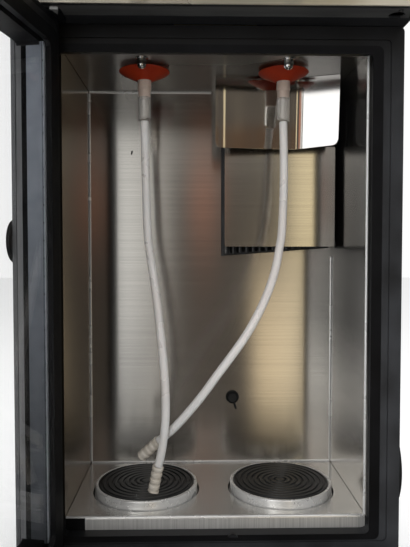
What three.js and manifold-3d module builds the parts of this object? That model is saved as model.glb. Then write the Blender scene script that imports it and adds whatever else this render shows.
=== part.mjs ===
// Two-bottle wine preservation dispenser with its glass door open.
// Millimetres, +X to the right, +Y into the cabinet, +Z up; Z = 0 is the surface it stands on.
// The sizes below are from the bay's middle in X and its lining's front line in Y.
import * as THREE from 'three';
import { mergeVertices } from 'three/addons/utils/BufferGeometryUtils.js';
import Module from 'manifold-3d';

const wasm = await Module();
wasm.setup();

// Clearances and counts shared by all pieces
const gap = 0.3;
const overrun = 2;
const weld = 0.0004;
const arc = { line: 1, corner: 2, fine: 4, tiny: 10, small: 14, medium: 20, large: 30 };

// Bottle bay: the stainless chamber that the bottles stand in
const bay = {
  halfWidth: 100,
  depth: 96,
  height: 306.7,
  floor: 92,
  sheet: 1.2,
  front: -4,
  lip: 8.7,
  ceilingLip: 3.6,
};
bay.top = bay.floor + bay.height;
bay.back = bay.depth;

// Outer body
const body = { wall: 18, sheet: 1.2, back: 188, foot: 10, headRise: 10.7, roof: 1.5 };
body.half = bay.halfWidth + body.wall;
body.headBottom = bay.top + body.headRise;
body.inner = body.half - body.sheet;

// Front frame round the bay's mouth, which the door's seal lands on
const frameRing = {
  depth: 12.7,
  side: 1.5,
  sill: 8.5,
  head: 2.2,
  innerCorner: 5,
  outerCorner: 3,
  grooveInset: 8,
  groove: 0.8,
};
frameRing.back = bay.front - gap;
frameRing.front = frameRing.back - frameRing.depth;
frameRing.top = body.headBottom - gap;

// Base with the drip tray ledge in front
const base = { pan: 3, wall: 2.5, ledgeTop: 72, ledgeFront: -130, corner: 14, deckSkin: 2.5 };
base.panTop = body.foot + base.pan;
const feet = { radius: 12, taper: 2, insetX: 22, insetFront: 24, insetBack: 24 };

// Drip tray, lifted out of the ledge
const tray = { sideInset: 24, frontInset: 6, backRoom: 5, depth: 20, wall: 1.2, corner: 9, grille: 2 };
tray.halfWidth = body.half - tray.sideInset;
const slots = { width: 5, pitchX: 12, edge: 8 };

// Sprung bottle platforms, one in each half of the bay
const platform = {
  inward: 0.5,
  forward: 6,
  sideRoom: 12.6,
  frontRoom: 10.6,
  matEdge: 2.5,
  matTop: 6.4,
  matThick: 2.6,
  travel: 28,
  rimDrop: 0.3,
  wall: 1.3,
  holeGap: 1.6,
  flange: 3.3,
  flangeThick: 2,
  stem: 5.7,
  sleeveWall: 3,
  ribs: 4,
  ribHeight: 0.9,
  ribWidth: 1.6,
};
platform.spread = bay.halfWidth - platform.inward;
platform.centreY = bay.depth / 2 - platform.forward;
platform.rimRadius = Math.min(bay.halfWidth / 2 - platform.sideRoom, bay.depth / 2 - platform.frontRoom);
platform.matRadius = platform.rimRadius - platform.matEdge;
platform.rimTop = platform.matTop - platform.rimDrop;
const well = { wall: 1.8, side: 0.7, bottom: 2.5, sleeveRise: 46 };
const spring = { wire: 1, radius: 12.4, turns: 5, steps: 8, sides: 6 };

// Bottle stoppers that hang from the bay's ceiling, with their dip tubes
const stopper = {
  forward: 6.6,
  coneHeight: 3.7,
  coneTop: 16.4,
  coneFoot: 6.2,
  flangeRadius: 17.9,
  flangeThick: 0.9,
  flangeDrop: 2.8,
  boss: 7,
  neck: 4.9,
  neckEnd: 15.1,
  waist: 4.2,
  waistEnd: 20.8,
  sleeve: 4.6,
  sleeveEnd: 37.4,
  bore: 2,
  thread: 4.7,
  nutRadius: 9,
  nutHeight: 6,
  threadRise: 28,
};
stopper.spread = platform.spread;
stopper.centreY = platform.centreY - stopper.forward;
const dome = { radius: 3.3, height: 7.4, forward: 22.4, washer: 4.4, washerThick: 0.8, steps: 3 };
const dipTube = { radius: 2.9, sides: 8, steps: 36 };
const tip = { radius: 3.9, length: 21, ribs: 4, ribDepth: 0.45, bore: 1.8, grooveFrom: 1.2, grooveTo: 1.8 };

// Dip tube routes, from under the stopper sleeve down to the tip
const leftRoute = [
  [-49.75, 35.4, 361], [-49.6, 34.6, 354], [-48.5, 30.5, 318], [-47.2, 26, 283], [-45.1, 23.2, 265.6],
  [-42.3, 20.4, 248], [-39.9, 17.6, 231], [-37.8, 14.8, 213.8], [-35.8, 12, 195], [-34.3, 9.6, 177],
  [-33.9, 8.2, 158], [-34.8, 7.9, 144.3], [-37.2, 8.8, 128.8], [-39.2, 9.9, 121],
];
const rightRoute = [
  [49.75, 35.4, 361], [49.9, 34.6, 354], [49.4, 29, 318], [47, 21.2, 282], [45.1, 18.4, 272.4],
  [41.4, 14.2, 255], [33.7, 9.4, 235], [22.9, 5.6, 215], [13.2, 4.3, 201], [-0.2, 4.8, 182.8],
  [-10.6, 7.2, 168], [-27.4, 13.2, 147], [-39.2, 18.2, 135.6],
];
const leftTip = [-43.3, 13.4, 100.4];
const rightTip = [-53, 25.4, 121.2];

// Thermoelectric cooler behind the bay's right half
const cooler = { left: 8.1, rightIn: 2.5, drop: 134.1, slope: 6.6, headroom: 10 };
cooler.right = bay.halfWidth - cooler.rightIn;
cooler.bottom = bay.top - cooler.drop;
const coverPlate = { inLeft: 1.6, inRight: 1.3, lift: 7.5, overlap: 5, stand: 24, thick: 1.2, corner: 1 };
coverPlate.left = cooler.left + coverPlate.inLeft;
coverPlate.right = cooler.right - coverPlate.inRight;
coverPlate.bottom = cooler.bottom + coverPlate.lift;
coverPlate.front = bay.back - coverPlate.stand - coverPlate.thick;
const deflector = {
  outLeft: 7.7,
  inRight: 3.5,
  drop: 53.7,
  sheet: 1.2,
  leftStand: 40.8,
  rightStand: 52.1,
  bow: 10.4,
  corner: 4,
  steps: 14,
};
deflector.left = cooler.left - deflector.outLeft;
deflector.right = cooler.right - deflector.inRight;
deflector.bottom = bay.top - deflector.drop;
deflector.leftY = bay.back - deflector.leftStand;
deflector.rightY = bay.back - deflector.rightStand;
coverPlate.top = deflector.bottom + coverPlate.overlap;
const coldSink = { fin: 1.1, pitch: 5.2, base: 6, margin: 4.5, finInset: 1.6 };
coldSink.finFront = coverPlate.front + coverPlate.thick + gap;
coldSink.front = bay.back + bay.sheet + gap;
const peltier = { side: 40, thick: 4, beside: 47, drop: 70.7 };
peltier.centreX = bay.halfWidth - peltier.beside;
peltier.centreZ = bay.top - peltier.drop;
peltier.front = coldSink.front + coldSink.base + gap;
const hotSink = { halfWidth: 45, halfHeight: 55, base: 5, finDepth: 26, fin: 1.6, pitch: 7.5 };
hotSink.front = peltier.front + peltier.thick + gap;
const fan = {
  half: 40,
  bore: 37.5,
  depth: 18,
  hub: 13,
  seatDepth: 2,
  arm: 3,
  blades: 7,
  blade: 1.4,
  twist: 0.62,
  standOff: 1.6,
  tipGap: 1.5,
  corner: 5,
};
const sensor = {
  x: 17.6,
  rise: 55,
  radius: 5.6,
  height: 4,
  probe: 0.9,
  probeLength: 10,
  lean: 0.3,
  faceShare: 0.6,
  shoulderShare: 0.9,
  shoulderHeightShare: 0.6,
};
sensor.z = bay.floor + sensor.rise;

// Head above the bay: housing, fascia, pouring nose, controls and spouts
const head = { front: -46, height: 88.6, wall: 2.2, corner: 9, sill: 12.6, sillThick: 1.5 };
head.top = body.headBottom + head.height;
const fascia = { thick: 1.2, windowHalf: 86, windowBottom: 26, windowTop: 74, corner: 1 };
fascia.front = head.front - gap - fascia.thick;
const nose = { half: 92, front: -112, bottom: 22.6, top: 76.6, wall: 2.5, corner: 8 };
nose.floor = body.headBottom + nose.bottom;
nose.roof = body.headBottom + nose.top;
const underside = { thick: 1.5, inset: 0.3, depth: 13.5, spareIn: 11, spare: 5, relief: 1.9, reliefIn: 3.2 };
const spout = {
  y: -88,
  collar: 10,
  collarThick: 3.4,
  shank: 6,
  shankRise: 9,
  barrel: 6.5,
  tip: 4,
  drop: 21,
  bore: 2.4,
};
const pour = {
  radius: 11,
  proud: 3,
  flange: 2,
  flangeThick: 1.5,
  height: 50,
  room: 0.4,
  dish: 1.2,
  dishShare: 0.7,
  stem: 2.4,
  stemLength: 5,
};
const keys = { radius: 4.6, proud: 1.6, x: 13, height: 36, flange: 1.4, flangeThick: 1.2, room: 0.35 };
const display = { half: 20, bottom: 46, top: 64, thick: 1.5, corner: 2 };
const line = { radius: 3, rise: 20, bend: 14, sides: 8, steps: 16 };
const valve = { half: 28, front: 14, back: 62, height: 18, coil: 8, coilHeight: 20, coilX: 15 };

// Door, drawn closed and then turned open about its pins
const door = {
  thick: 28,
  edgeIn: 8.2,
  backIn: 12.5,
  open: 100.7,
  footGap: 5,
  headGap: 2.3,
  lip: 17.4,
  railLip: 6.8,
  border: 19.3,
  lipThick: 5.2,
  rim: 3,
  bossHalf: 4.1,
  bossDeep: 9.8,
  bossTall: 14,
  corner: 4,
};
door.half = body.half;
const seal = { thick: 3.4, outerIn: 10.9, width: 8.4, corner: 5 };
door.back = frameRing.front - seal.thick - 2 * gap;
door.front = door.back - door.thick;
door.bottom = base.ledgeTop + door.footGap;
door.top = body.headBottom - door.headGap;
const pane = { thick: 4, spacer: 6, corner: 3 };
const pivot = { x: -body.half + door.edgeIn, y: door.back - door.backIn };
const hinge = {
  pin: 2.7,
  bore: 3.1,
  reach: 12,
  plate: 1.7,
  lowerPlate: 2.2,
  front: 7.5,
  back: 12,
  edge: 0.5,
  corner: 3,
  inward: 17.5,
};
const handle = { radius: 5, length: 120, stand: 26, inset: 14, post: 4, postSpread: 90 };
const buffer = { radius: 13, height: 3.6, edgeIn: 13.1, rise: 182, faceShare: 0.7, widthShare: 0.7 };
buffer.z = bay.floor + buffer.rise;
const cap = { radius: 29, height: 8, y: 28, rise: 30, steps: 5 };
cap.z = bay.floor + cap.rise;

// Rear panel, vents and inlets
const rear = {
  inset: 1.3,
  sheet: 1.2,
  ventRows: 9,
  ventPitch: 9,
  ventHeight: 4,
  ventHalf: 34,
  lowRows: 5,
  lowZ: 44,
};
rear.front = body.back - rear.inset - rear.sheet;
const sideVent = { rows: 6, pitch: 10, height: 4, length: 44, bottom: 200, backInset: 14 };
const mains = {
  half: 14,
  halfHeight: 10,
  x: -82,
  z: 40,
  depth: 18,
  flange: 3,
  flangeThick: 2,
  recess: 15,
  corner: 2,
  pin: 1.2,
  pinLength: 9,
  pinSpread: 5,
};
const gas = { radius: 4, nut: 8, nutThick: 5, length: 16, x: -82, z: 78, bore: 2 };
const foam = { bottom: 19, back: 22, window: 3 };

// Looks of the materials
const looks = {
  steel: { color: 0xb9b6b0, roughness: 0.28, metalness: 1 },
  chrome: { color: 0xd8d8d6, roughness: 0.1, metalness: 1 },
  aluminium: { color: 0x8d8f92, roughness: 0.45, metalness: 1 },
  brass: { color: 0xb08d4a, roughness: 0.3, metalness: 1 },
  black: { color: 0x17181a, roughness: 0.5, metalness: 0 },
  casing: { color: 0x1b1c1e, roughness: 0.42, metalness: 0.3 },
  rubber: { color: 0x1d1f21, roughness: 0.75, metalness: 0 },
  silicone: { color: 0xc8442a, roughness: 0.35, metalness: 0 },
  clear: { color: 0xe6e2da, roughness: 0.25, metalness: 0, transparent: true, opacity: 0.8 },
  glass: { color: 0xcfd8dc, roughness: 0.05, metalness: 0, transparent: true, opacity: 0.35 },
  foam: { color: 0xd9d2bd, roughness: 0.9, metalness: 0 },
  ceramic: { color: 0xe8e8e4, roughness: 0.6, metalness: 0 },
};

const dispenser = new THREE.Group();

// A closed solid from a geometry, turned the right way out
function solid(geometry) {
  const bare = geometry.clone();
  bare.deleteAttribute('normal');
  bare.deleteAttribute('uv');
  const merged = mergeVertices(bare, weld);
  const triangles = new Uint32Array(merged.index.array);
  const vertices = new Float32Array(merged.attributes.position.array);
  const options = { numProp: 3, vertProperties: vertices, triVerts: triangles };
  const made = new wasm.Manifold(new wasm.Mesh(options));
  if (made.volume() > 0) return made;
  for (let i = 0; i < triangles.length; i += 3) {
    [triangles[i], triangles[i + 1]] = [triangles[i + 1], triangles[i]];
  }
  return new wasm.Manifold(new wasm.Mesh(options));
}

function geometryOf(made) {
  const mesh = made.getMesh();
  const geometry = new THREE.BufferGeometry();
  geometry.setAttribute('position', new THREE.BufferAttribute(new Float32Array(mesh.vertProperties), 3));
  geometry.setIndex(new THREE.BufferAttribute(new Uint32Array(mesh.triVerts), 1));
  return geometry;
}

function cut(block, cutters) {
  return cutters.reduce((left, cutter) => left.subtract(cutter), block);
}

function fuse(blocks) {
  return blocks.reduce((sum, block) => sum.add(block));
}

function piece(name, shape, look, parent = dispenser) {
  const mesh = new THREE.Mesh(geometryOf(shape), new THREE.MeshStandardMaterial(looks[look]));
  mesh.name = name;
  parent.add(mesh);
  return mesh;
}

// An outline between two corners, with rounded corners where a radius is given
function panel(low, high, radius = 0) {
  const [x0, y0] = low;
  const [x1, y1] = high;
  const shape = new THREE.Shape();
  if (radius <= 0) {
    shape.moveTo(x0, y0).lineTo(x1, y0).lineTo(x1, y1).lineTo(x0, y1).closePath();
    return shape;
  }
  shape.moveTo(x0 + radius, y0);
  shape.lineTo(x1 - radius, y0).absarc(x1 - radius, y0 + radius, radius, -Math.PI / 2, 0);
  shape.lineTo(x1, y1 - radius).absarc(x1 - radius, y1 - radius, radius, 0, Math.PI / 2);
  shape.lineTo(x0 + radius, y1).absarc(x0 + radius, y1 - radius, radius, Math.PI / 2, Math.PI);
  shape.lineTo(x0, y0 + radius).absarc(x0 + radius, y0 + radius, radius, Math.PI, Math.PI * 3 / 2);
  return shape;
}

function outline(points) {
  return new THREE.Shape(points.map(([u, v]) => new THREE.Vector2(u, v)));
}

function extruded(shape, length, segments) {
  return new THREE.ExtrudeGeometry(shape, { depth: length, bevelEnabled: false, curveSegments: segments });
}

// Prisms along each axis: the outline lies in XY, XZ or YZ
function alongZ(shape, z0, z1, segments = arc.corner) {
  return solid(extruded(shape, z1 - z0, segments).translate(0, 0, z0));
}

function alongY(shape, y0, y1, segments = arc.corner) {
  return solid(extruded(shape, y1 - y0, segments).rotateX(Math.PI / 2).translate(0, y1, 0));
}

function alongX(shape, x0, x1, segments = arc.corner) {
  const turn = new THREE.Matrix4().makeBasis(
    new THREE.Vector3(0, 1, 0), new THREE.Vector3(0, 0, 1), new THREE.Vector3(1, 0, 0));
  return solid(extruded(shape, x1 - x0, segments).applyMatrix4(turn).translate(x0, 0, 0));
}

function block(low, high) {
  return alongZ(panel([low[0], low[1]], [high[0], high[1]]), low[2], high[2]);
}

// A turned solid about a vertical axis, from [radius, height] points
function turned(points, x, y, segments = arc.medium) {
  const profile = points.map(([r, z]) => new THREE.Vector2(r, z));
  const closed = points[0][0] > 0 ? [...profile, profile[0].clone()] : profile;
  return solid(new THREE.LatheGeometry(closed, segments).rotateX(Math.PI / 2).translate(x, y, 0));
}

// A turned solid about an axis along Y, from [radius, y] points
function turnedAlongY(points, x, z, segments = arc.medium) {
  const profile = points.map(([r, y]) => new THREE.Vector2(r, y));
  const closed = points[0][0] > 0 ? [...profile, profile[0].clone()] : profile;
  return solid(new THREE.LatheGeometry(closed, segments).translate(x, 0, z));
}

function cylinder(radius, x, y, z0, z1, segments = arc.medium) {
  return turned([[0, z0], [radius, z0], [radius, z1], [0, z1]], x, y, segments);
}

function cylinderAlongY(radius, x, z, y0, y1, segments = arc.medium) {
  return turnedAlongY([[0, y0], [radius, y0], [radius, y1], [0, y1]], x, z, segments);
}

function hose(points, radius, sides, steps) {
  const path = new THREE.CatmullRomCurve3(points.map((p) => new THREE.Vector3(...p)));
  const section = new THREE.Shape();
  section.absarc(0, 0, radius, 0, Math.PI * 2);
  const options = { extrudePath: path, steps, curveSegments: sides / 2, bevelEnabled: false };
  return solid(new THREE.ExtrudeGeometry(section, options));
}

// A helix about a vertical axis
class Coil extends THREE.Curve {
  constructor(radius, z0, z1, turns) {
    super();
    Object.assign(this, { radius, z0, z1, turns });
  }

  getPoint(t, target = new THREE.Vector3()) {
    const angle = Math.PI * 2 * this.turns * t;
    const z = this.z0 + (this.z1 - this.z0) * t;
    return target.set(this.radius * Math.cos(angle), this.radius * Math.sin(angle), z);
  }
}

const sides = [['left', -1], ['right', 1]];

// Base

function footAt(x, y) {
  const height = body.foot + base.pan / 2;
  const profile = [
    [0, 0], [feet.radius - feet.taper, 0], [feet.radius, feet.taper], [feet.radius, height], [0, height],
  ];
  return turned(profile, x, y, arc.small);
}

// The cup under each platform, with the sleeve that guides its stem
function wellAt(x, y) {
  const cupRadius = platform.rimRadius + platform.flange + well.side;
  const bottom = base.panTop - base.pan / 2;
  const top = bay.floor - bay.sheet - gap;
  const floor = base.panTop + well.bottom;
  const sleeve = platform.stem + gap;
  const rim = cupRadius + well.wall;
  const guide = sleeve + platform.sleeveWall;
  return turned([
    [0, bottom], [rim, bottom], [rim, top], [cupRadius, top], [cupRadius, floor],
    [guide, floor], [guide, floor + well.sleeveRise], [sleeve, floor + well.sleeveRise],
    [sleeve, floor], [0, floor],
  ], x, y, arc.large);
}

// The base is one moulding: pan, four feet and the two platform wells
function makeBasePan() {
  const inset = base.wall + gap;
  const low = [-body.half + inset, base.ledgeFront + inset];
  const high = [body.half - inset, rear.front - gap];
  const pan = alongZ(panel(low, high, base.corner - inset), body.foot, base.panTop);
  const x = body.half - feet.insetX;
  const front = base.ledgeFront + feet.insetFront;
  const back = body.back - feet.insetBack;
  const standing = [footAt(-x, front), footAt(x, front), footAt(-x, back), footAt(x, back)];
  const wells = sides.map(([, sign]) => wellAt(sign * platform.spread / 2, platform.centreY));
  piece('base_pan', fuse([pan, ...standing, ...wells]), 'black');
}

function trayOutline(grow) {
  const front = base.ledgeFront + tray.frontInset - grow;
  const back = door.front - tray.backRoom + grow;
  const half = tray.halfWidth + grow;
  return panel([-half, front], [half, back], tray.corner + grow);
}

function makeLedge() {
  const half = body.half;
  const back = frameRing.back;
  const plan = panel([-half, base.ledgeFront], [half, back + base.corner], base.corner);
  const shell = alongZ(plan, body.foot, base.ledgeTop, arc.fine);
  const behind = block([-half - overrun, back, 0], [half + overrun, back + base.corner + overrun, bay.top]);
  const trayWell = alongZ(trayOutline(gap), base.ledgeTop - tray.depth - gap, base.ledgeTop + overrun);
  const wall = base.wall;
  const hollow = panel(
    [-half + wall, base.ledgeFront + wall], [half - wall, back - wall], base.corner - wall);
  const roof = base.ledgeTop - tray.depth - gap - base.deckSkin;
  const inside = alongZ(hollow, body.foot - overrun, roof);
  const panRoom = block(
    [-half + wall, back - base.corner, 0], [half - wall, back + overrun, base.panTop + gap]);
  piece('ledge_housing', cut(shell, [behind, trayWell, inside, panRoom]), 'black');
}

function makeTray() {
  const bottom = base.ledgeTop - tray.depth;
  const rim = base.ledgeTop - gap - tray.grille;
  const outer = alongZ(trayOutline(0), bottom, rim);
  const inner = alongZ(trayOutline(-tray.wall), bottom + tray.wall, rim + overrun);
  piece('drip_tray', cut(outer, [inner]), 'steel');
  const plate = alongZ(trayOutline(0), rim + gap, base.ledgeTop + gap);
  const front = base.ledgeFront + tray.frontInset + slots.edge;
  const back = door.front - tray.backRoom - slots.edge;
  const perSide = Math.floor((tray.halfWidth - slots.edge) / slots.pitchX);
  const cutters = [];
  for (let i = -perSide; i <= perSide; i += 1) {
    const x = i * slots.pitchX;
    const slot = panel([x - slots.width / 2, front], [x + slots.width / 2, back], slots.width / 2 - weld);
    cutters.push(alongZ(slot, rim, base.ledgeTop + overrun, arc.line));
  }
  piece('drip_grille', cut(plate, cutters), 'steel');
}

// Platforms

function makePlatform(side, sign) {
  const x = sign * platform.spread / 2;
  const y = platform.centreY;
  const rim = platform.rimRadius;
  const top = bay.floor + platform.rimTop;
  const flangeTop = bay.floor - bay.sheet - gap;
  const flangeBottom = flangeTop - platform.flangeThick;
  const inner = rim - platform.wall;
  const matBottom = bay.floor + platform.matTop - platform.matThick;
  const seat = matBottom - gap;
  const recess = platform.matRadius + gap;
  const ceiling = seat - platform.wall;
  const stemEnd = base.panTop + well.bottom + platform.travel + gap;
  const profile = [
    [0, seat], [recess, seat], [recess, top], [rim - platform.wall / 2, top], [rim, top - platform.wall],
    [rim, flangeTop], [rim + platform.flange, flangeTop], [rim + platform.flange, flangeBottom],
    [inner, flangeBottom], [inner, ceiling], [platform.stem, ceiling], [platform.stem, stemEnd], [0, stemEnd],
  ];
  piece(`platform_cup_${side}`, turned(profile, x, y, arc.large), 'chrome');
  const matTop = bay.floor + platform.matTop;
  const floor = matTop - platform.ribHeight;
  const matProfile = [[0, matBottom], [platform.matRadius, matBottom], [platform.matRadius, matTop]];
  const pitch = platform.matRadius / (platform.ribs + 1);
  for (let i = platform.ribs; i > 0; i -= 1) {
    const outerEdge = pitch * (i + 1) - platform.ribWidth;
    const innerEdge = pitch * i + platform.ribWidth / 2;
    matProfile.push([outerEdge, matTop], [outerEdge, floor], [innerEdge, floor], [innerEdge, matTop]);
  }
  matProfile.push([0, matTop]);
  piece(`platform_mat_${side}`, turned(matProfile, x, y, arc.medium), 'rubber');
  const low = base.panTop + well.bottom + gap + spring.wire;
  const high = ceiling - gap - spring.wire;
  const wire = new THREE.Shape();
  wire.absarc(0, 0, spring.wire, 0, Math.PI * 2);
  const helix = new Coil(spring.radius, low, high, spring.turns);
  const options = {
    extrudePath: helix,
    steps: spring.turns * spring.steps,
    curveSegments: spring.sides / 2,
    bevelEnabled: false,
  };
  const coil = solid(new THREE.ExtrudeGeometry(wire, options).translate(x, y, 0));
  piece(`platform_spring_${side}`, coil, 'steel');
}

// Bay lining

function makeDeck() {
  const half = bay.halfWidth - gap;
  const top = bay.floor;
  const under = top - bay.sheet;
  const profile = outline([
    [bay.front, top - bay.lip], [bay.front + bay.sheet, top - bay.lip], [bay.front + bay.sheet, under],
    [bay.back - gap, under], [bay.back - gap, top],
    [bay.front + bay.sheet / 2, top], [bay.front, top - bay.sheet / 2],
  ]);
  const hole = platform.rimRadius + platform.holeGap;
  const holes = sides.map(([, sign]) => cylinder(
    hole, sign * platform.spread / 2, platform.centreY, under - overrun, top + overrun, arc.large));
  piece('deck_plate', cut(alongX(profile, -half, half), holes), 'steel');
}

function makeLinerSides() {
  const low = bay.floor - bay.sheet;
  const high = bay.top + bay.sheet;
  const wall = (x) => block([x, bay.front, low], [x + bay.sheet, bay.back - gap, high]);
  piece('liner_left', wall(-bay.halfWidth - bay.sheet), 'steel');
  piece('liner_right', wall(bay.halfWidth), 'steel');
}

function coolerMouth(grow) {
  const left = cooler.left - grow;
  const right = cooler.right + grow;
  const top = bay.top - cooler.headroom + grow;
  return outline([
    [left, cooler.bottom - grow], [right, cooler.bottom + cooler.slope - grow], [right, top], [left, top],
  ]);
}

function makeLinerBack() {
  const half = bay.halfWidth + bay.sheet;
  const sheet = panel([-half, bay.floor - bay.sheet], [half, bay.top + bay.sheet]);
  const back = alongY(sheet, bay.back, bay.back + bay.sheet);
  const mouth = alongY(coolerMouth(0), bay.back - overrun, bay.back + bay.sheet + overrun);
  piece('liner_back', cut(back, [mouth]), 'steel');
}

// A domed nut and washer under the ceiling, in front of each stopper
function domeNut(x) {
  const top = bay.top + bay.sheet / 2;
  const under = bay.top - dome.washerThick;
  const centre = bay.top - dome.height + dome.radius;
  const profile = [[0, top], [dome.washer, top], [dome.washer, under], [dome.radius, under]];
  for (let i = 0; i <= dome.steps; i += 1) {
    const angle = Math.PI / 2 * (i / dome.steps);
    profile.push([dome.radius * Math.cos(angle), centre - dome.radius * Math.sin(angle)]);
  }
  return turned(profile, x, stopper.centreY - dome.forward, arc.small);
}

function makeLinerCeiling() {
  const half = bay.halfWidth - gap;
  const top = bay.top + bay.sheet;
  const profile = outline([
    [bay.front, bay.top - bay.ceilingLip], [bay.front + bay.sheet, bay.top - bay.ceilingLip],
    [bay.front + bay.sheet, bay.top], [bay.back - gap, bay.top], [bay.back - gap, top], [bay.front, top],
  ]);
  const hole = stopper.thread + gap;
  const holes = sides.map(([, sign]) => cylinder(
    hole, sign * stopper.spread / 2, stopper.centreY, bay.top - overrun, top + overrun, arc.small));
  const domes = sides.map(([, sign]) => domeNut(sign * stopper.spread / 2));
  piece('liner_ceiling', fuse([cut(alongX(profile, -half, half), holes), ...domes]), 'steel');
}

function hotSinkOutline(grow) {
  const { centreX: x, centreZ: z } = peltier;
  const half = hotSink.halfWidth + grow;
  const tall = hotSink.halfHeight + grow;
  return panel([x - half, z - tall], [x + half, z + tall]);
}

function makeFoam() {
  const half = body.inner - gap;
  const low = bay.floor - foam.bottom;
  const high = frameRing.top - body.roof - gap;
  const backFace = bay.back + foam.back;
  const blockOut = block([-half, bay.front, low], [half, backFace, high]);
  const inner = bay.halfWidth + bay.sheet + gap;
  const chamber = block(
    [-inner, bay.front - overrun, bay.floor - bay.sheet - gap],
    [inner, bay.back + bay.sheet + gap, bay.top + bay.sheet + gap]);
  const lipRoom = block(
    [-inner, bay.front - overrun, bay.floor - bay.lip - gap],
    [inner, bay.front + bay.sheet + gap, bay.floor]);
  const wellRadius = platform.rimRadius + platform.flange + well.side + well.wall + gap;
  const wellHoles = sides.map(([, sign]) => cylinder(
    wellRadius, sign * platform.spread / 2, platform.centreY, low - overrun, bay.floor, arc.large));
  const boltHoles = sides.map(([, sign]) => cylinder(
    stopper.thread + gap, sign * stopper.spread / 2, stopper.centreY, bay.top, high + overrun, arc.small));
  const window = alongY(coolerMouth(foam.window + coldSink.margin), bay.back, backFace + overrun);
  const sinkRoom = alongY(hotSinkOutline(gap), hotSink.front - gap, backFace + overrun);
  piece('insulation', cut(blockOut, [chamber, lipRoom, ...wellHoles, ...boltHoles, window, sinkRoom]), 'foam');
}

// Body shell

function makeFrontFrame() {
  const half = body.half;
  const low = base.ledgeTop + gap;
  const ring = panel([-half, low], [half, frameRing.top], frameRing.outerCorner);
  const innerHalf = bay.halfWidth + frameRing.side;
  const sill = bay.floor - frameRing.sill;
  const lintel = bay.top - frameRing.head;
  ring.holes.push(panel([-innerHalf, sill], [innerHalf, lintel], frameRing.innerCorner));
  const g = frameRing.grooveInset;
  const w = frameRing.groove;
  const ringAt = (inset) => panel(
    [-half + inset, low + inset], [half - inset, frameRing.top - inset], frameRing.outerCorner);
  const groove = ringAt(g);
  groove.holes.push(ringAt(g + w));
  const face = frameRing.front;
  const frame = cut(alongY(ring, face, frameRing.back), [alongY(groove, face - overrun, face + w)]);
  piece('front_frame', frame, 'black');
}

function ventRow(y0, y1, z) {
  return panel([y0, z], [y1, z + sideVent.height], sideVent.height / 2 - weld);
}

function makeCasing() {
  const top = frameRing.top;
  const outer = outline([
    [-body.half, body.foot], [-body.inner, body.foot], [-body.inner, top - body.roof],
    [body.inner, top - body.roof], [body.inner, body.foot], [body.half, body.foot],
    [body.half, top], [-body.half, top],
  ]);
  const wrap = alongY(outer, bay.front, body.back);
  const boltHole = (x) => cylinder(
    stopper.thread + gap, x, stopper.centreY, top - body.roof - overrun, top + overrun, arc.small);
  const cutters = sides.map(([, sign]) => boltHole(sign * stopper.spread / 2));
  const y1 = body.back - sideVent.backInset;
  for (let i = 0; i < sideVent.rows; i += 1) {
    const row = ventRow(y1 - sideVent.length, y1, sideVent.bottom + i * sideVent.pitch);
    cutters.push(alongX(row, -body.half - overrun, body.half + overrun, arc.line));
  }
  piece('casing', cut(wrap, cutters), 'casing');
}

function makeRearPanel() {
  const half = body.inner - gap;
  const y0 = rear.front;
  const y1 = rear.front + rear.sheet;
  const plate = alongY(panel([-half, body.foot], [half, frameRing.top - body.roof - gap]), y0, y1);
  const cutters = [];
  const slotBand = (x, z, rows) => {
    for (let i = 0; i < rows; i += 1) {
      const low = [x - rear.ventHalf, z + i * rear.ventPitch];
      const high = [x + rear.ventHalf, low[1] + rear.ventHeight];
      const slot = panel(low, high, rear.ventHeight / 2 - weld);
      cutters.push(alongY(slot, y0 - overrun, y1 + overrun, arc.line));
    }
  };
  slotBand(peltier.centreX, peltier.centreZ - rear.ventRows * rear.ventPitch / 2, rear.ventRows);
  slotBand(peltier.centreX, rear.lowZ, rear.lowRows);
  const mouth = panel(
    [mains.x - mains.half - gap, mains.z - mains.halfHeight - gap],
    [mains.x + mains.half + gap, mains.z + mains.halfHeight + gap]);
  cutters.push(alongY(mouth, y0 - overrun, y1 + overrun));
  cutters.push(cylinderAlongY(gas.radius + gap, gas.x, gas.z, y0 - overrun, y1 + overrun, arc.small));
  piece('rear_panel', cut(plate, cutters), 'casing');
}

function makeMains() {
  const y0 = rear.front;
  const y1 = rear.front + rear.sheet + gap;
  const half = mains.half;
  const tall = mains.halfHeight;
  const corner = mains.corner;
  const shell = alongY(panel([mains.x - half, mains.z - tall], [mains.x + half, mains.z + tall], corner),
    y0 - mains.depth, y1 + mains.flangeThick);
  const flange = alongY(
    panel([mains.x - half - mains.flange, mains.z - tall - mains.flange],
      [mains.x + half + mains.flange, mains.z + tall + mains.flange], corner), y1, y1 + mains.flangeThick);
  const wall = mains.flange;
  const socketAt = panel(
    [mains.x - half + wall, mains.z - tall + wall], [mains.x + half - wall, mains.z + tall - wall], corner);
  const socket = alongY(
    socketAt, y1 + mains.flangeThick - mains.recess, y1 + mains.flangeThick + overrun);
  const pinAt = (dx, dz) => {
    const low = [mains.x + dx - mains.pin, mains.z + dz - mains.pin];
    const high = [mains.x + dx + mains.pin, mains.z + dz + mains.pin];
    const root = y1 + mains.flangeThick - mains.recess;
    return alongY(panel(low, high), root - mains.pin, root + mains.pinLength);
  };
  const pins = [pinAt(-mains.pinSpread, -mains.pin), pinAt(mains.pinSpread, -mains.pin), pinAt(0, mains.pin)];
  piece('power_inlet', fuse([cut(fuse([shell, flange]), [socket]), ...pins]), 'black');
}

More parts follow.
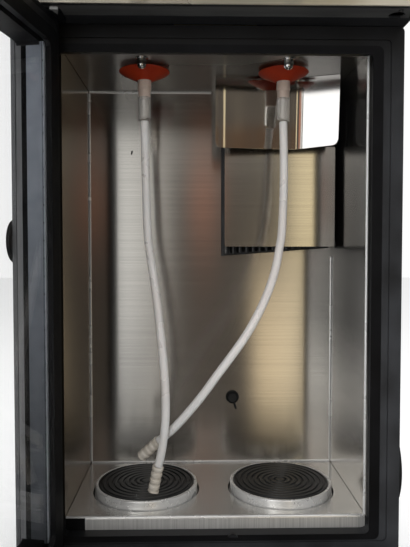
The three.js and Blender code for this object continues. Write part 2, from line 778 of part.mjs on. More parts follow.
function makeGasInlet() {
  const y1 = rear.front + rear.sheet + gap;
  const profile = [
    [gas.bore, rear.front - gas.length], [gas.radius, rear.front - gas.length],
    [gas.radius, y1], [gas.nut, y1], [gas.nut, y1 + gas.nutThick], [gas.radius, y1 + gas.nutThick],
    [gas.radius, y1 + gas.length], [gas.bore, y1 + gas.length],
  ];
  piece('gas_inlet', turnedAlongY(profile, gas.x, gas.z, arc.small), 'brass');
}

function makeSideCap() {
  const stack = [];
  for (let i = 0; i <= cap.steps; i += 1) {
    const angle = Math.PI / 2 * (i / cap.steps);
    stack.push(new THREE.Vector2(cap.radius * Math.cos(angle), cap.height * Math.sin(angle)));
  }
  const profile = [new THREE.Vector2(0, 0), ...stack];
  const shape = new THREE.LatheGeometry(profile, arc.medium).rotateZ(-Math.PI / 2);
  piece('side_cap', solid(shape.translate(body.half + gap, cap.y, cap.z)), 'rubber');
}

// Head

function headOutline(inset) {
  const low = body.headBottom;
  const front = head.front + inset;
  const back = body.back - inset;
  const top = head.top - inset;
  const radius = head.corner - inset;
  const shape = new THREE.Shape();
  const foot = low - (inset > 0 ? overrun : 0);
  shape.moveTo(front, foot);
  shape.lineTo(back, foot);
  shape.lineTo(back, top - radius).absarc(back - radius, top - radius, radius, 0, Math.PI / 2);
  shape.lineTo(front + radius, top).absarc(front + radius, top - radius, radius, Math.PI / 2, Math.PI);
  shape.closePath();
  return shape;
}

function makeHead() {
  const shell = alongX(headOutline(0), -body.half, body.half);
  const inner = alongX(headOutline(head.wall), -body.half + head.wall, body.half - head.wall);
  const low = body.headBottom;
  const inset = head.wall + underside.inset;
  const back = head.front + inset + underside.depth;
  const edge = body.half - head.wall / 2;
  const sill = block([-edge, back + gap, low], [edge, back + gap + head.sill, low + head.sillThick]);
  const windowShape = panel(
    [-fascia.windowHalf, low + fascia.windowBottom], [fascia.windowHalf, low + fascia.windowTop]);
  const window = alongY(windowShape, head.front - overrun, head.front + head.wall + overrun);
  piece('head_housing', fuse([cut(shell, [inner, window]), sill]), 'casing');
  const sheet = panel([-body.half, low], [body.half, head.top - head.corner], fascia.corner);
  sheet.holes.push(windowShape);
  piece('fascia', alongY(sheet, fascia.front, fascia.front + fascia.thick), 'steel');
  const plate = alongZ(
    panel([-body.half + inset, head.front + inset], [body.half - inset, back]), low, low + underside.thick);
  const holeAt = (radius, x, y, segments) => cylinder(
    radius, x, y, low - overrun, low + underside.thick + overrun, segments);
  const spareX = body.half - underside.spareIn;
  const holes = [
    holeAt(hinge.bore, pivot.x, pivot.y, arc.small), holeAt(underside.spare, spareX, pivot.y, arc.medium),
    holeAt(underside.relief, spareX, head.front + inset + underside.reliefIn, arc.tiny),
  ];
  piece('head_underside', cut(plate, holes), 'steel');
}

function makeNose() {
  const back = fascia.front - gap;
  const roomy = nose.corner;
  const side = panel([nose.front, nose.floor], [back + roomy, nose.roof], roomy);
  const insideLow = [nose.front + nose.wall, nose.floor + nose.wall];
  const inside = panel(insideLow, [back + roomy, nose.roof - nose.wall], roomy - nose.wall);
  const shell = alongX(side, -nose.half, nose.half, arc.fine);
  const hollow = alongX(inside, -nose.half + nose.wall, nose.half - nose.wall, arc.fine);
  const open = block(
    [-nose.half - overrun, back, 0], [nose.half + overrun, back + roomy + overrun, head.top]);
  const floorTop = nose.floor + nose.wall + overrun;
  const spoutHoles = sides.map(([, sign]) => cylinder(
    spout.shank + gap, sign * stopper.spread / 2, spout.y, nose.floor - overrun, floorTop, arc.small));
  const wallFront = nose.front - overrun;
  const wallBack = nose.front + nose.wall + overrun;
  const buttonZ = body.headBottom + pour.height;
  const buttonHoles = sides.map(([, sign]) => cylinderAlongY(
    pour.radius + pour.room, sign * stopper.spread / 2, buttonZ, wallFront, wallBack));
  const keyZ = body.headBottom + keys.height;
  const keyHoles = sides.map(([, sign]) => cylinderAlongY(
    keys.radius + keys.room, sign * keys.x, keyZ, wallFront, wallBack, arc.small));
  const sight = panel(
    [-display.half - gap, body.headBottom + display.bottom - gap],
    [display.half + gap, body.headBottom + display.top + gap], display.corner);
  const recess = alongY(sight, nose.front - overrun, nose.front + display.thick);
  const cutters = [hollow, open, ...spoutHoles, ...buttonHoles, ...keyHoles, recess];
  piece('nozzle_housing', cut(shell, cutters), 'black');
  const windowLow = [-display.half, body.headBottom + display.bottom];
  const window = panel(windowLow, [display.half, body.headBottom + display.top], display.corner);
  piece('display_window', alongY(window, nose.front, nose.front + display.thick - gap), 'glass');
}

function makeSpout(side, sign) {
  const top = nose.floor - gap;
  const collarLow = top - spout.collarThick;
  const end = top - spout.drop;
  const profile = [
    [spout.bore, end], [spout.tip, end], [spout.barrel, collarLow - spout.collarThick],
    [spout.barrel, collarLow], [spout.collar, collarLow], [spout.collar, top], [spout.shank, top],
    [spout.shank, top + spout.shankRise], [spout.bore, top + spout.shankRise],
  ];
  piece(`spout_${side}`, turned(profile, sign * stopper.spread / 2, spout.y, arc.small), 'chrome');
}

function makePourButton(side, sign) {
  const face = nose.front - pour.proud;
  const behind = nose.front + nose.wall + gap;
  const wide = pour.radius + pour.flange;
  const profile = [
    [0, face + pour.dish], [pour.radius * pour.dishShare, face], [pour.radius - pour.dish, face],
    [pour.radius, face + pour.dish], [pour.radius, behind], [wide, behind],
    [wide, behind + pour.flangeThick], [pour.stem, behind + pour.flangeThick],
    [pour.stem, behind + pour.stemLength], [0, behind + pour.stemLength],
  ];
  const button = turnedAlongY(profile, sign * stopper.spread / 2, body.headBottom + pour.height, arc.medium);
  piece(`pour_button_${side}`, button, 'chrome');
}

function makeKey(name, sign) {
  const face = nose.front - keys.proud;
  const behind = nose.front + nose.wall + gap;
  const wide = keys.radius + keys.flange;
  const profile = [
    [0, face], [keys.radius - keys.room, face], [keys.radius, face + keys.room], [keys.radius, behind],
    [wide, behind], [wide, behind + keys.flangeThick], [0, behind + keys.flangeThick],
  ];
  piece(name, turnedAlongY(profile, sign * keys.x, body.headBottom + keys.height, arc.small), 'ceramic');
}

function makeWineLines() {
  const low = nose.floor - gap + spout.shankRise + gap;
  const high = low + line.rise;
  const end = frameRing.top + gap + stopper.threadRise + gap;
  const route = (x) => [
    [x, spout.y, low], [x, spout.y, high - line.bend / 2], [x, spout.y + line.bend / 2, high],
    [x, spout.y + line.bend * 2, high], [x, stopper.centreY - line.bend * 2, high],
    [x, stopper.centreY - line.bend / 2, high], [x, stopper.centreY, high - line.bend / 2],
    [x, stopper.centreY, end],
  ];
  sides.forEach(([side, sign]) => {
    const points = route(sign * stopper.spread / 2);
    piece(`wine_line_${side}`, hose(points, line.radius, line.sides, line.steps), 'clear');
  });
}

function makeValveBlock() {
  const floor = frameRing.top + gap;
  const box = block([-valve.half, valve.front, floor], [valve.half, valve.back, floor + valve.height]);
  const middle = (valve.front + valve.back) / 2;
  const coilFoot = floor + valve.height - gap;
  const coilTop = floor + valve.height + valve.coilHeight;
  const coils = sides.map(([, sign]) => cylinder(
    valve.coil, sign * valve.coilX, middle, coilFoot, coilTop, arc.small));
  piece('valve_block', fuse([box, ...coils]), 'brass');
}

// Stoppers

function makeStopper(side, sign) {
  const x = sign * stopper.spread / 2;
  const y = stopper.centreY;
  const top = bay.top;
  const coneTop = top - stopper.flangeDrop - stopper.flangeThick - gap;
  const coneFoot = coneTop - stopper.coneHeight;
  const hole = stopper.neck + gap;
  const cone = turned([
    [hole, coneFoot], [stopper.coneFoot, coneFoot], [stopper.coneTop, coneTop - stopper.flangeThick],
    [stopper.coneTop, coneTop], [hole, coneTop],
  ], x, y, arc.large);
  piece(`stopper_cone_${side}`, cone, 'silicone');
  const nutLow = frameRing.top + gap;
  const sleeveTop = top - stopper.waistEnd;
  const neckEnd = top - stopper.neckEnd;
  const profile = [
    [stopper.bore, top - stopper.sleeveEnd], [stopper.sleeve, top - stopper.sleeveEnd],
    [stopper.sleeve, sleeveTop], [stopper.waist, sleeveTop], [stopper.waist, neckEnd],
    [stopper.neck, neckEnd], [stopper.neck, coneTop + gap], [stopper.flangeRadius, coneTop + gap],
    [stopper.flangeRadius, top - stopper.flangeDrop], [stopper.boss, top - stopper.flangeDrop],
    [stopper.boss, top - gap], [stopper.thread, top - gap], [stopper.thread, nutLow],
    [stopper.nutRadius, nutLow], [stopper.nutRadius, nutLow + stopper.nutHeight],
    [stopper.thread, nutLow + stopper.nutHeight],
    [stopper.thread, nutLow + stopper.threadRise], [stopper.bore, nutLow + stopper.threadRise],
  ];
  piece(`stopper_stem_${side}`, turned(profile, x, y, arc.small), 'clear');
}

// A ribbed tip that continues the tube's last stretch
function makeTip(name, from, to) {
  const start = new THREE.Vector3(...from);
  const way = new THREE.Vector3(...to).sub(start).normalize();
  const pitch = tip.length / (tip.ribs * 2 + 1);
  const profile = [[tip.bore, gap]];
  for (let i = 0; i < tip.ribs; i += 1) {
    const low = gap + pitch * i * 2;
    profile.push([tip.radius, low], [tip.radius, low + pitch]);
    const groove = tip.radius - tip.ribDepth;
    profile.push([groove, low + pitch * tip.grooveFrom], [groove, low + pitch * tip.grooveTo]);
  }
  profile.push([tip.radius, tip.length], [tip.bore, tip.length]);
  const points = [...profile, profile[0]].map(([r, y]) => new THREE.Vector2(r, y));
  const turn = new THREE.Quaternion().setFromUnitVectors(new THREE.Vector3(0, 1, 0), way);
  const shape = new THREE.LatheGeometry(points, arc.tiny).applyQuaternion(turn);
  piece(name, solid(shape.translate(start.x, start.y, start.z)), 'clear');
}

function makeDipTubes() {
  const tube = (route) => hose(route, dipTube.radius, dipTube.sides, dipTube.steps);
  piece('dip_tube_left', tube(leftRoute), 'clear');
  piece('dip_tube_right', tube(rightRoute), 'clear');
  makeTip('tube_tip_left', leftRoute.at(-1), leftTip);
  makeTip('tube_tip_right', rightRoute.at(-1), rightTip);
}

// Cooling

function makeCoverPlate() {
  const sheet = panel(
    [coverPlate.left, coverPlate.bottom], [coverPlate.right, coverPlate.top], coverPlate.corner);
  piece('cooler_cover', alongY(sheet, coverPlate.front, coverPlate.front + coverPlate.thick), 'steel');
}

// A bowed sheet under the ceiling that turns the cold air down
function makeDeflector() {
  const width = deflector.right - deflector.left;
  const top = bay.top - gap;
  const bowAt = (share) => {
    const chord = deflector.leftY + (deflector.rightY - deflector.leftY) * share;
    return chord + deflector.bow * Math.sin(Math.PI * share);
  };
  const front = [];
  const back = [];
  for (let i = 0; i <= deflector.steps; i += 1) {
    const share = i / deflector.steps;
    const x = deflector.left + width * share;
    front.push([x, bowAt(share)]);
    back.unshift([x, bowAt(share) + deflector.sheet]);
  }
  const sheet = alongZ(outline([...front, ...back]), deflector.bottom, top);
  const rounded = panel(
    [deflector.left, deflector.bottom], [deflector.right, top + deflector.corner], deflector.corner);
  piece('air_deflector', sheet.intersect(alongY(rounded, 0, bay.back)), 'chrome');
}

function makeColdSink() {
  const { front, margin } = coldSink;
  const plate = alongY(coolerMouth(margin - gap), front, front + coldSink.base);
  const left = cooler.left + coldSink.finInset;
  const right = cooler.right - coldSink.finInset;
  const count = Math.floor((right - left - coldSink.fin) / coldSink.pitch);
  const start = (left + right) / 2 - count * coldSink.pitch / 2;
  const blocks = [plate];
  const rise = cooler.slope / (cooler.right - cooler.left);
  for (let i = 0; i <= count; i += 1) {
    const x = start + i * coldSink.pitch;
    const low = cooler.bottom + rise * (x + coldSink.fin - cooler.left) + coldSink.finInset;
    const high = bay.top - cooler.headroom - coldSink.finInset;
    const finLow = [x - coldSink.fin / 2, coldSink.finFront, low];
    blocks.push(block(finLow, [x + coldSink.fin / 2, front + gap, high]));
  }
  piece('cold_sink', fuse(blocks), 'aluminium');
}

function makeHotSide() {
  const { centreX: x, centreZ: z } = peltier;
  const half = peltier.side / 2;
  const chip = panel([x - half, z - half], [x + half, z + half]);
  piece('peltier_module', alongY(chip, peltier.front, peltier.front + peltier.thick), 'ceramic');
  const baseBack = hotSink.front + hotSink.base;
  const blocks = [alongY(hotSinkOutline(0), hotSink.front, baseBack)];
  const count = Math.floor((hotSink.halfWidth * 2 - hotSink.fin) / hotSink.pitch);
  const start = x - count * hotSink.pitch / 2;
  const tall = hotSink.halfHeight;
  for (let i = 0; i <= count; i += 1) {
    const at = start + i * hotSink.pitch;
    const low = [at - hotSink.fin / 2, baseBack - gap, z - tall];
    blocks.push(block(low, [at + hotSink.fin / 2, baseBack + hotSink.finDepth, z + tall]));
  }
  piece('hot_sink', fuse(blocks), 'aluminium');
  makeFan(x, z, baseBack + hotSink.finDepth + gap);
}

function makeFan(x, z, front) {
  const back = front + fan.depth;
  const square = panel([x - fan.half, z - fan.half], [x + fan.half, z + fan.half], fan.corner);
  const frame = alongY(square, front, back);
  const bore = cylinderAlongY(fan.bore, x, z, front - overrun, back + overrun);
  const seatFront = back - fan.seatDepth;
  const seat = cylinderAlongY(fan.hub, x, z, seatFront, back, arc.small);
  const reach = fan.bore + fan.arm / 2;
  const armPlate = (low, high) => alongY(panel(low, high), seatFront, back);
  const arms = [
    armPlate([x - reach, z - fan.arm / 2], [x + reach, z + fan.arm / 2]),
    armPlate([x - fan.arm / 2, z - reach], [x + fan.arm / 2, z + reach]),
  ];
  piece('fan_frame', fuse([cut(frame, [bore]), seat, ...arms]), 'black');
  const hubFront = front + fan.standOff;
  const hubBack = seatFront - gap;
  const blocks = [cylinderAlongY(fan.hub, x, z, hubFront, hubBack, arc.small)];
  const root = fan.hub / 2;
  const span = fan.bore - fan.tipGap - root;
  const depth = hubBack - hubFront - fan.standOff;
  for (let i = 0; i < fan.blades; i += 1) {
    const blade = new THREE.BoxGeometry(span, depth, fan.blade);
    blade.rotateX(fan.twist).translate(root + span / 2, 0, 0).rotateY(Math.PI * 2 * i / fan.blades);
    blocks.push(solid(blade.translate(x, (hubFront + hubBack) / 2, z)));
  }
  piece('fan_rotor', fuse(blocks), 'black');
}

function makeSensor() {
  const y = bay.back - gap;
  const profile = [
    [0, y - sensor.height], [sensor.radius * sensor.faceShare, y - sensor.height],
    [sensor.radius * sensor.shoulderShare, y - sensor.height * sensor.shoulderHeightShare],
    [sensor.radius, y], [0, y],
  ];
  const button = turnedAlongY(profile, sensor.x, sensor.z, arc.small);
  const rod = new THREE.CylinderGeometry(sensor.probe, sensor.probe, sensor.probeLength, arc.tiny);
  rod.translate(0, -sensor.probeLength / 2, 0).rotateX(Math.PI / 2).rotateY(-sensor.lean);
  const probe = solid(rod.translate(sensor.x, y - sensor.height / 2, sensor.z));
  piece('temperature_sensor', fuse([button, probe]), 'rubber');
}

// Door

function makeDoor() {
  const swing = new THREE.Group();
  swing.position.set(pivot.x, pivot.y, 0);
  swing.rotation.z = THREE.MathUtils.degToRad(-door.open);
  dispenser.add(swing);
  const leaf = new THREE.Group();
  leaf.position.set(-pivot.x, -pivot.y, 0);
  swing.add(leaf);
  const { half, bottom, top, front, back, corner } = door;
  const outer = panel([-half, bottom], [half, top], corner);
  const opening = (inset, radius, railInset = inset) => panel(
    [-half + inset, bottom + railInset], [half - inset, top - railInset], radius);
  const bulk = alongY(outer, front, back);
  const lipBack = front + door.lipThick;
  const lipMouth = alongY(opening(door.lip, corner, door.railLip), front - overrun, lipBack + overrun);
  const rebate = alongY(opening(door.rim, corner), lipBack, back + overrun);
  const pinBores = [
    cylinder(hinge.bore, pivot.x, pivot.y, bottom - overrun, bottom + hinge.reach, arc.small),
    cylinder(hinge.bore, pivot.x, pivot.y, top - hinge.reach, top + overrun, arc.small),
  ];
  const bumperProfile = [
    [0, front - buffer.height], [buffer.radius * buffer.faceShare, front - buffer.height],
    [buffer.radius, front - buffer.height / 2], [buffer.radius, front + gap], [0, front + gap],
  ].map(([r, y]) => new THREE.Vector2(r, y));
  const oval = new THREE.LatheGeometry(bumperProfile, arc.medium).scale(buffer.widthShare, 1, 1);
  const bumper = solid(oval.translate(-half + buffer.edgeIn, 0, buffer.z));
  const bossLow = [-half + door.rim / 2, pivot.y - door.bossHalf];
  const bossHigh = [-half + door.rim + door.bossDeep, pivot.y + door.bossHalf];
  const bossAt = (z0, z1) => block([...bossLow, z0], [...bossHigh, z1]);
  const bosses = [
    bossAt(bottom + door.rim / 2, bottom + door.bossTall), bossAt(top - door.bossTall, top - door.rim / 2),
  ];
  const ring = fuse([cut(bulk, [lipMouth, rebate]), ...bosses, bumper]);
  piece('door_frame', cut(ring, pinBores), 'black', leaf);
  const room = door.rim + gap;
  const glass = (y0) => alongY(opening(room, pane.corner), y0, y0 + pane.thick);
  const outerPane = lipBack + gap;
  const innerPane = back - pane.thick;
  piece('door_pane_outer', glass(outerPane), 'glass', leaf);
  piece('door_pane_inner', glass(innerPane), 'glass', leaf);
  const spacerRing = opening(door.border - pane.spacer, pane.corner);
  spacerRing.holes.push(opening(door.border, pane.corner));
  piece('glass_spacer', alongY(spacerRing, outerPane + pane.thick + gap, innerPane - gap), 'aluminium', leaf);
  const sealRing = opening(seal.outerIn, seal.corner);
  sealRing.holes.push(opening(seal.outerIn + seal.width, seal.corner));
  piece('door_gasket', alongY(sealRing, back + gap, back + gap + seal.thick), 'rubber', leaf);
  makeHandle(leaf);
}

function makeHandle(leaf) {
  const x = door.half - handle.inset;
  const y = door.front - handle.stand;
  const middle = (door.bottom + door.top) / 2;
  const reach = handle.length / 2;
  const bar = cylinder(handle.radius, x, y, middle - reach, middle + reach, arc.small);
  const posts = [-1, 1].map((sign) => cylinderAlongY(
    handle.post, x, middle + sign * handle.postSpread / 2, y, door.front - gap, arc.small));
  piece('door_handle', fuse([bar, ...posts]), 'chrome', leaf);
}

function makeHinges() {
  const plateLow = [-body.half + hinge.edge, pivot.y - hinge.front];
  const plateHigh = [pivot.x + hinge.inward, pivot.y + hinge.back];
  const plateShape = () => panel(plateLow, plateHigh, hinge.corner);
  const low = base.ledgeTop + gap;
  const lower = fuse([
    alongZ(plateShape(), low, low + hinge.lowerPlate),
    cylinder(hinge.pin, pivot.x, pivot.y, low, door.bottom + hinge.reach - overrun, arc.small),
  ]);
  const high = body.headBottom - gap;
  const pinLow = door.top - hinge.reach + overrun;
  const upper = fuse([
    alongZ(plateShape(), high - hinge.plate, high),
    cylinder(hinge.pin, pivot.x, pivot.y, pinLow, body.headBottom + underside.thick, arc.small),
  ]);
  piece('hinge_plate_lower', lower, 'chrome');
  piece('hinge_plate_upper', upper, 'chrome');
}

makeBasePan();
makeLedge();
makeTray();
sides.forEach(([side, sign]) => makePlatform(side, sign));
makeDeck();
makeLinerSides();
makeLinerBack();
makeLinerCeiling();
makeFoam();
makeFrontFrame();
makeCasing();
makeRearPanel();
makeMains();
makeGasInlet();
makeSideCap();
makeHead();
makeNose();
sides.forEach(([side, sign]) => makeSpout(side, sign));
sides.forEach(([side, sign]) => makePourButton(side, sign));
makeKey('power_button', -1);
makeKey('cooling_button', 1);
makeWineLines();
makeValveBlock();
sides.forEach(([side, sign]) => makeStopper(side, sign));
makeDipTubes();
makeCoverPlate();
makeDeflector();
makeColdSink();
makeHotSide();
makeSensor();
makeHinges();
makeDoor();

// The frame's origin is the middle of the front left foot, on the floor
dispenser.position.set(body.half - feet.insetX, -base.ledgeFront - feet.insetFront, 0);

export default dispenser;
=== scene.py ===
import math

import bmesh
import bpy
from mathutils import Matrix, Vector


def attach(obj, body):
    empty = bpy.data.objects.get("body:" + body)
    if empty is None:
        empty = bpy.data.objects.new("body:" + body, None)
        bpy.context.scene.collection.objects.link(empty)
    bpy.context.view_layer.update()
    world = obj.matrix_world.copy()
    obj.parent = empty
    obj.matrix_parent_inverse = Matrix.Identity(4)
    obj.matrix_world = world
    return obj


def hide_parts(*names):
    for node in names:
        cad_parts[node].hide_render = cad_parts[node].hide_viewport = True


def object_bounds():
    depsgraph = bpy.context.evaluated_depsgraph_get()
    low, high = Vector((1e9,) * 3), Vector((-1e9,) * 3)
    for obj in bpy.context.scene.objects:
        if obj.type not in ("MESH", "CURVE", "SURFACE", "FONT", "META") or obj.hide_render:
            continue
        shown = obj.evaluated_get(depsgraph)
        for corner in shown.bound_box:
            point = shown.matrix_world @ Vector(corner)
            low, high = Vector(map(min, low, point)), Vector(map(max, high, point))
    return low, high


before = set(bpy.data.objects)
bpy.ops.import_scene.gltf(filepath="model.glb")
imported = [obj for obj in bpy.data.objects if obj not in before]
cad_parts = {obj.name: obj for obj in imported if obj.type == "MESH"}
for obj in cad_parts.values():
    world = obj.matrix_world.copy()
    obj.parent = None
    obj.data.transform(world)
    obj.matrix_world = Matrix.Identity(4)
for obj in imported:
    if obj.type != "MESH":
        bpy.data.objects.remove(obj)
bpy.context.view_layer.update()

# The bay's middle and front line in the row frame, in millimetres
BAY_X = 96.0
BAY_Y = 106.0
MM = 0.001


def place(x, y, z):
    """A point given in millimetres from the bay's middle, its front line and the floor."""
    return Vector(((x + BAY_X) * MM, (y + BAY_Y) * MM, z * MM))


# Camera, from the photograph's vanishing lines: millimetres, degrees, and the focal length in pixels

PHOTO_HEIGHT = 547
FOCAL_LENGTH = 579.19
SENSOR = 36
CAMERA_AT = (-15.7, -383.55, 267.1)
LOOKS_DOWN = 2.035
LOOKS_RIGHT = 1.258

camera = bpy.data.objects.new("camera", bpy.data.cameras.new("camera"))
bpy.context.scene.collection.objects.link(camera)
camera.location = place(*CAMERA_AT)
camera.rotation_euler = (math.radians(90 - LOOKS_DOWN), 0, math.radians(-LOOKS_RIGHT))
camera.data.sensor_width = SENSOR
camera.data.lens = SENSOR * FOCAL_LENGTH / PHOTO_HEIGHT
camera.data.clip_start = 0.01
camera.data.clip_end = 30
bpy.context.scene.camera = camera


# Materials

# Most values of a noise texture lie between these two
NOISE_LOW, NOISE_HIGH = 0.3, 0.7
# Brushed lines and wider marks: how many to a metre, and the lines' depth in metres and strength
LINES_ACROSS, LINES_ALONG = 1400.0, 6.0
MARKS = 5.0
LINE_DEPTH = 0.000004
LINE_STRENGTH = 0.4


def nodes_of(name):
    """A new material with its node tree and its principled shader."""
    material = bpy.data.materials.new(name)
    material.use_nodes = True
    tree = material.node_tree
    return material, tree, tree.nodes["Principled BSDF"]


def noise_in(tree, scale, detail, stretch=(1, 1, 1)):
    """A noise value in the object's own metres, stretched along its axes."""
    where = tree.nodes.new("ShaderNodeTexCoord")
    mapping = tree.nodes.new("ShaderNodeMapping")
    mapping.inputs["Scale"].default_value = stretch
    tree.links.new(where.outputs["Object"], mapping.inputs["Vector"])
    noise = tree.nodes.new("ShaderNodeTexNoise")
    noise.inputs["Scale"].default_value = scale
    noise.inputs["Detail"].default_value = detail
    tree.links.new(mapping.outputs["Vector"], noise.inputs["Vector"])
    return noise.outputs["Fac"]


def add_relief(tree, shader, height, depth, strength=1.0):
    """Raises the surface a little where a value is high."""
    relief = tree.nodes.new("ShaderNodeBump")
    relief.inputs["Distance"].default_value = depth
    relief.inputs["Strength"].default_value = strength
    tree.links.new(height, relief.inputs["Height"])
    tree.links.new(relief.outputs["Normal"], shader.inputs["Normal"])


def ramp(tree, source, stops):
    """Colours along a value, from (position, colour) stops."""
    made = tree.nodes.new("ShaderNodeValToRGB")
    elements = made.color_ramp.elements
    while len(elements) > 1:
        elements.remove(elements[-1])
    elements[0].position = stops[0][0]
    elements[0].color = (*stops[0][1], 1)
    for position, colour in stops[1:]:
        element = elements.new(position)
        element.color = (*colour, 1)
    tree.links.new(source, made.inputs["Fac"])
    return made


def spread(tree, source, low, high, start=NOISE_LOW, end=NOISE_HIGH):
    """A value between start and end, stretched to lie between low and high."""
    made = tree.nodes.new("ShaderNodeMapRange")
    made.inputs["From Min"].default_value = start
    made.inputs["From Max"].default_value = end
    made.inputs["To Min"].default_value = low
    made.inputs["To Max"].default_value = high
    tree.links.new(source, made.inputs["Value"])
    return made.outputs["Result"]


def surface(name, dark, light, rough, metal=0.0, scale=60.0, stretch=(1, 1, 1), detail=4.0, bump=0.0,
            **sockets):
    """A principled surface whose colour and roughness wander between two values."""
    material, tree, shader = nodes_of(name)
    noise = noise_in(tree, scale, detail, stretch)
    colours = ramp(tree, noise, [(NOISE_LOW, dark), (NOISE_HIGH, light)])
    tree.links.new(colours.outputs["Color"], shader.inputs["Base Color"])
    tree.links.new(spread(tree, noise, rough[0], rough[1]), shader.inputs["Roughness"])
    shader.inputs["Metallic"].default_value = metal
    if bump:
        add_relief(tree, shader, noise, bump)
    for socket, value in sockets.items():
        shader.inputs[socket.replace("_", " ")].default_value = value
    return material


def brushed(name, dark, light, rough, along, blur, anisotropy=0.8, metal=1.0):
    """Steel with fine lines along one axis; blur names the axis along which its reflections smear."""
    stretch = [LINES_ACROSS, LINES_ACROSS, LINES_ACROSS]
    stretch["XYZ".index(along)] = LINES_ALONG
    material, tree, shader = nodes_of(name)
    lines = noise_in(tree, 1.0, 2.0, stretch)
    marks = noise_in(tree, MARKS, 0.0)
    colours = ramp(tree, lines, [(NOISE_LOW, dark), (NOISE_HIGH, light)])
    tree.links.new(colours.outputs["Color"], shader.inputs["Base Color"])
    tree.links.new(spread(tree, marks, rough[0], rough[1]), shader.inputs["Roughness"])
    shader.inputs["Metallic"].default_value = metal
    shader.inputs["Anisotropic"].default_value = anisotropy
    way = tree.nodes.new("ShaderNodeCombineXYZ")
    way.inputs["XYZ".index(blur)].default_value = 1.0
    tree.links.new(way.outputs["Vector"], shader.inputs["Tangent"])
    add_relief(tree, shader, lines, LINE_DEPTH, LINE_STRENGTH)
    return material


wall_steel = brushed("wall_steel", (0.52, 0.505, 0.485), (0.6, 0.585, 0.56), (0.165, 0.195), "X", "Z", 0.95)
# A darker copy of the liner steel for the left wall: painted shade
left_steel_painted_shade = brushed("left_steel_painted_shade", (0.15, 0.142, 0.133), (0.2, 0.19, 0.18), (0.13, 0.17), "Y", "Z")
# A copy of the liner steel for the right wall, with painted light and shade
right_steel_painted_light = brushed(
    "right_steel_painted_light", (0.35, 0.34, 0.325), (0.42, 0.409, 0.392), (0.13, 0.17), "Y", "Z", metal=0.95)
deck_steel = brushed("deck_steel", (0.74, 0.73, 0.7), (0.84, 0.83, 0.8), (0.2, 0.28), "X", "Y", metal=0.8)
ceiling_steel = brushed(
    "ceiling_steel", (0.5, 0.485, 0.465), (0.58, 0.565, 0.54), (0.26, 0.3), "X", "Y", 1.0)
cover_steel = brushed("cover_steel", (0.58, 0.56, 0.525), (0.66, 0.64, 0.6), (0.13, 0.17), "X", "Z")
fascia_steel = brushed(
    "fascia_steel", (0.72, 0.665, 0.55), (0.82, 0.76, 0.64), (0.24, 0.32), "X", "Z", 0.9, metal=0.75)
plate_steel = surface(
    "plate_steel", (0.12, 0.12, 0.118), (0.19, 0.19, 0.186), (0.45, 0.55), 0.7, 30, (1, 8, 1))
cup_steel = surface("cup_steel", (0.86, 0.85, 0.83), (0.93, 0.92, 0.9), (0.22, 0.32), 0.55, 70)
deflector_steel = surface("deflector_steel", (0.66, 0.645, 0.62), (0.74, 0.72, 0.7), (0.07, 0.13), 1.0, 18)
chrome = surface("chrome", (0.7, 0.7, 0.69), (0.8, 0.8, 0.79), (0.05, 0.12), 1.0, 50)
spring_steel = surface("spring_steel", (0.4, 0.4, 0.4), (0.55, 0.55, 0.54), (0.25, 0.35), 1.0, 80)
aluminium = surface("aluminium", (0.32, 0.33, 0.34), (0.42, 0.43, 0.44), (0.4, 0.5), 1.0, 60, (1, 1, 4))
fin_metal = surface("fin_metal", (0.03, 0.031, 0.033), (0.06, 0.062, 0.064), (0.4, 0.5), 0.4, 60)
brass = surface("brass", (0.5, 0.36, 0.14), (0.6, 0.44, 0.2), (0.25, 0.35), 1.0, 80)
moulding = surface(
    "moulding", (0.004, 0.0042, 0.0048), (0.0075, 0.0078, 0.0088), (0.42, 0.54), 0.0, 45, bump=0.00003,
    Specular_IOR_Level=0.2)
casing_black = surface(
    "casing_black", (0.011, 0.0115, 0.0125), (0.019, 0.0198, 0.0212), (0.36, 0.46), 0.0, 60, bump=0.00002,
    Specular_IOR_Level=0.4)
lip_steel = brushed(
    "lip_steel", (0.56, 0.55, 0.53), (0.78, 0.77, 0.75), (0.32, 0.4), "Z", "Z", 0.6, metal=0.6)
# Lighter steel for the bends, so that they show as bright lines: painted highlight
bend_steel_highlight = surface("bend_steel_highlight", (0.8, 0.79, 0.77), (0.88, 0.87, 0.85), (0.22, 0.3), 0.6, 40)
# Pale steel for the bend at the bay's right front edge: painted highlight
hem_steel_highlight = surface("hem_steel_highlight", (0.88, 0.88, 0.87), (0.94, 0.94, 0.93), (0.25, 0.32), 0.3, 40)
frame_plastic = surface(
    "frame_plastic", (0.007, 0.0074, 0.0085), (0.019, 0.02, 0.0225), (0.45, 0.6), 0.0, 35, detail=6.0,
    bump=0.00003, Specular_IOR_Level=0.35)
hollow_black = surface(
    "hollow_black", (0.003, 0.003, 0.0035), (0.006, 0.006, 0.007), (0.5, 0.6), 0.0, 40,
    Specular_IOR_Level=0.15)
trim_edge = surface(
    "trim_edge", (0.07, 0.071, 0.075), (0.1, 0.102, 0.107), (0.45, 0.55), 0.2, 14, (40, 40, 1))
trim_gray = surface(
    "trim_gray", (0.15, 0.152, 0.158), (0.22, 0.223, 0.23), (0.45, 0.55), 0.2, 14, (40, 40, 1))
spacer_gray = surface("spacer_gray", (0.26, 0.288, 0.335), (0.34, 0.37, 0.425), (0.5, 0.6), 0.3, 120)
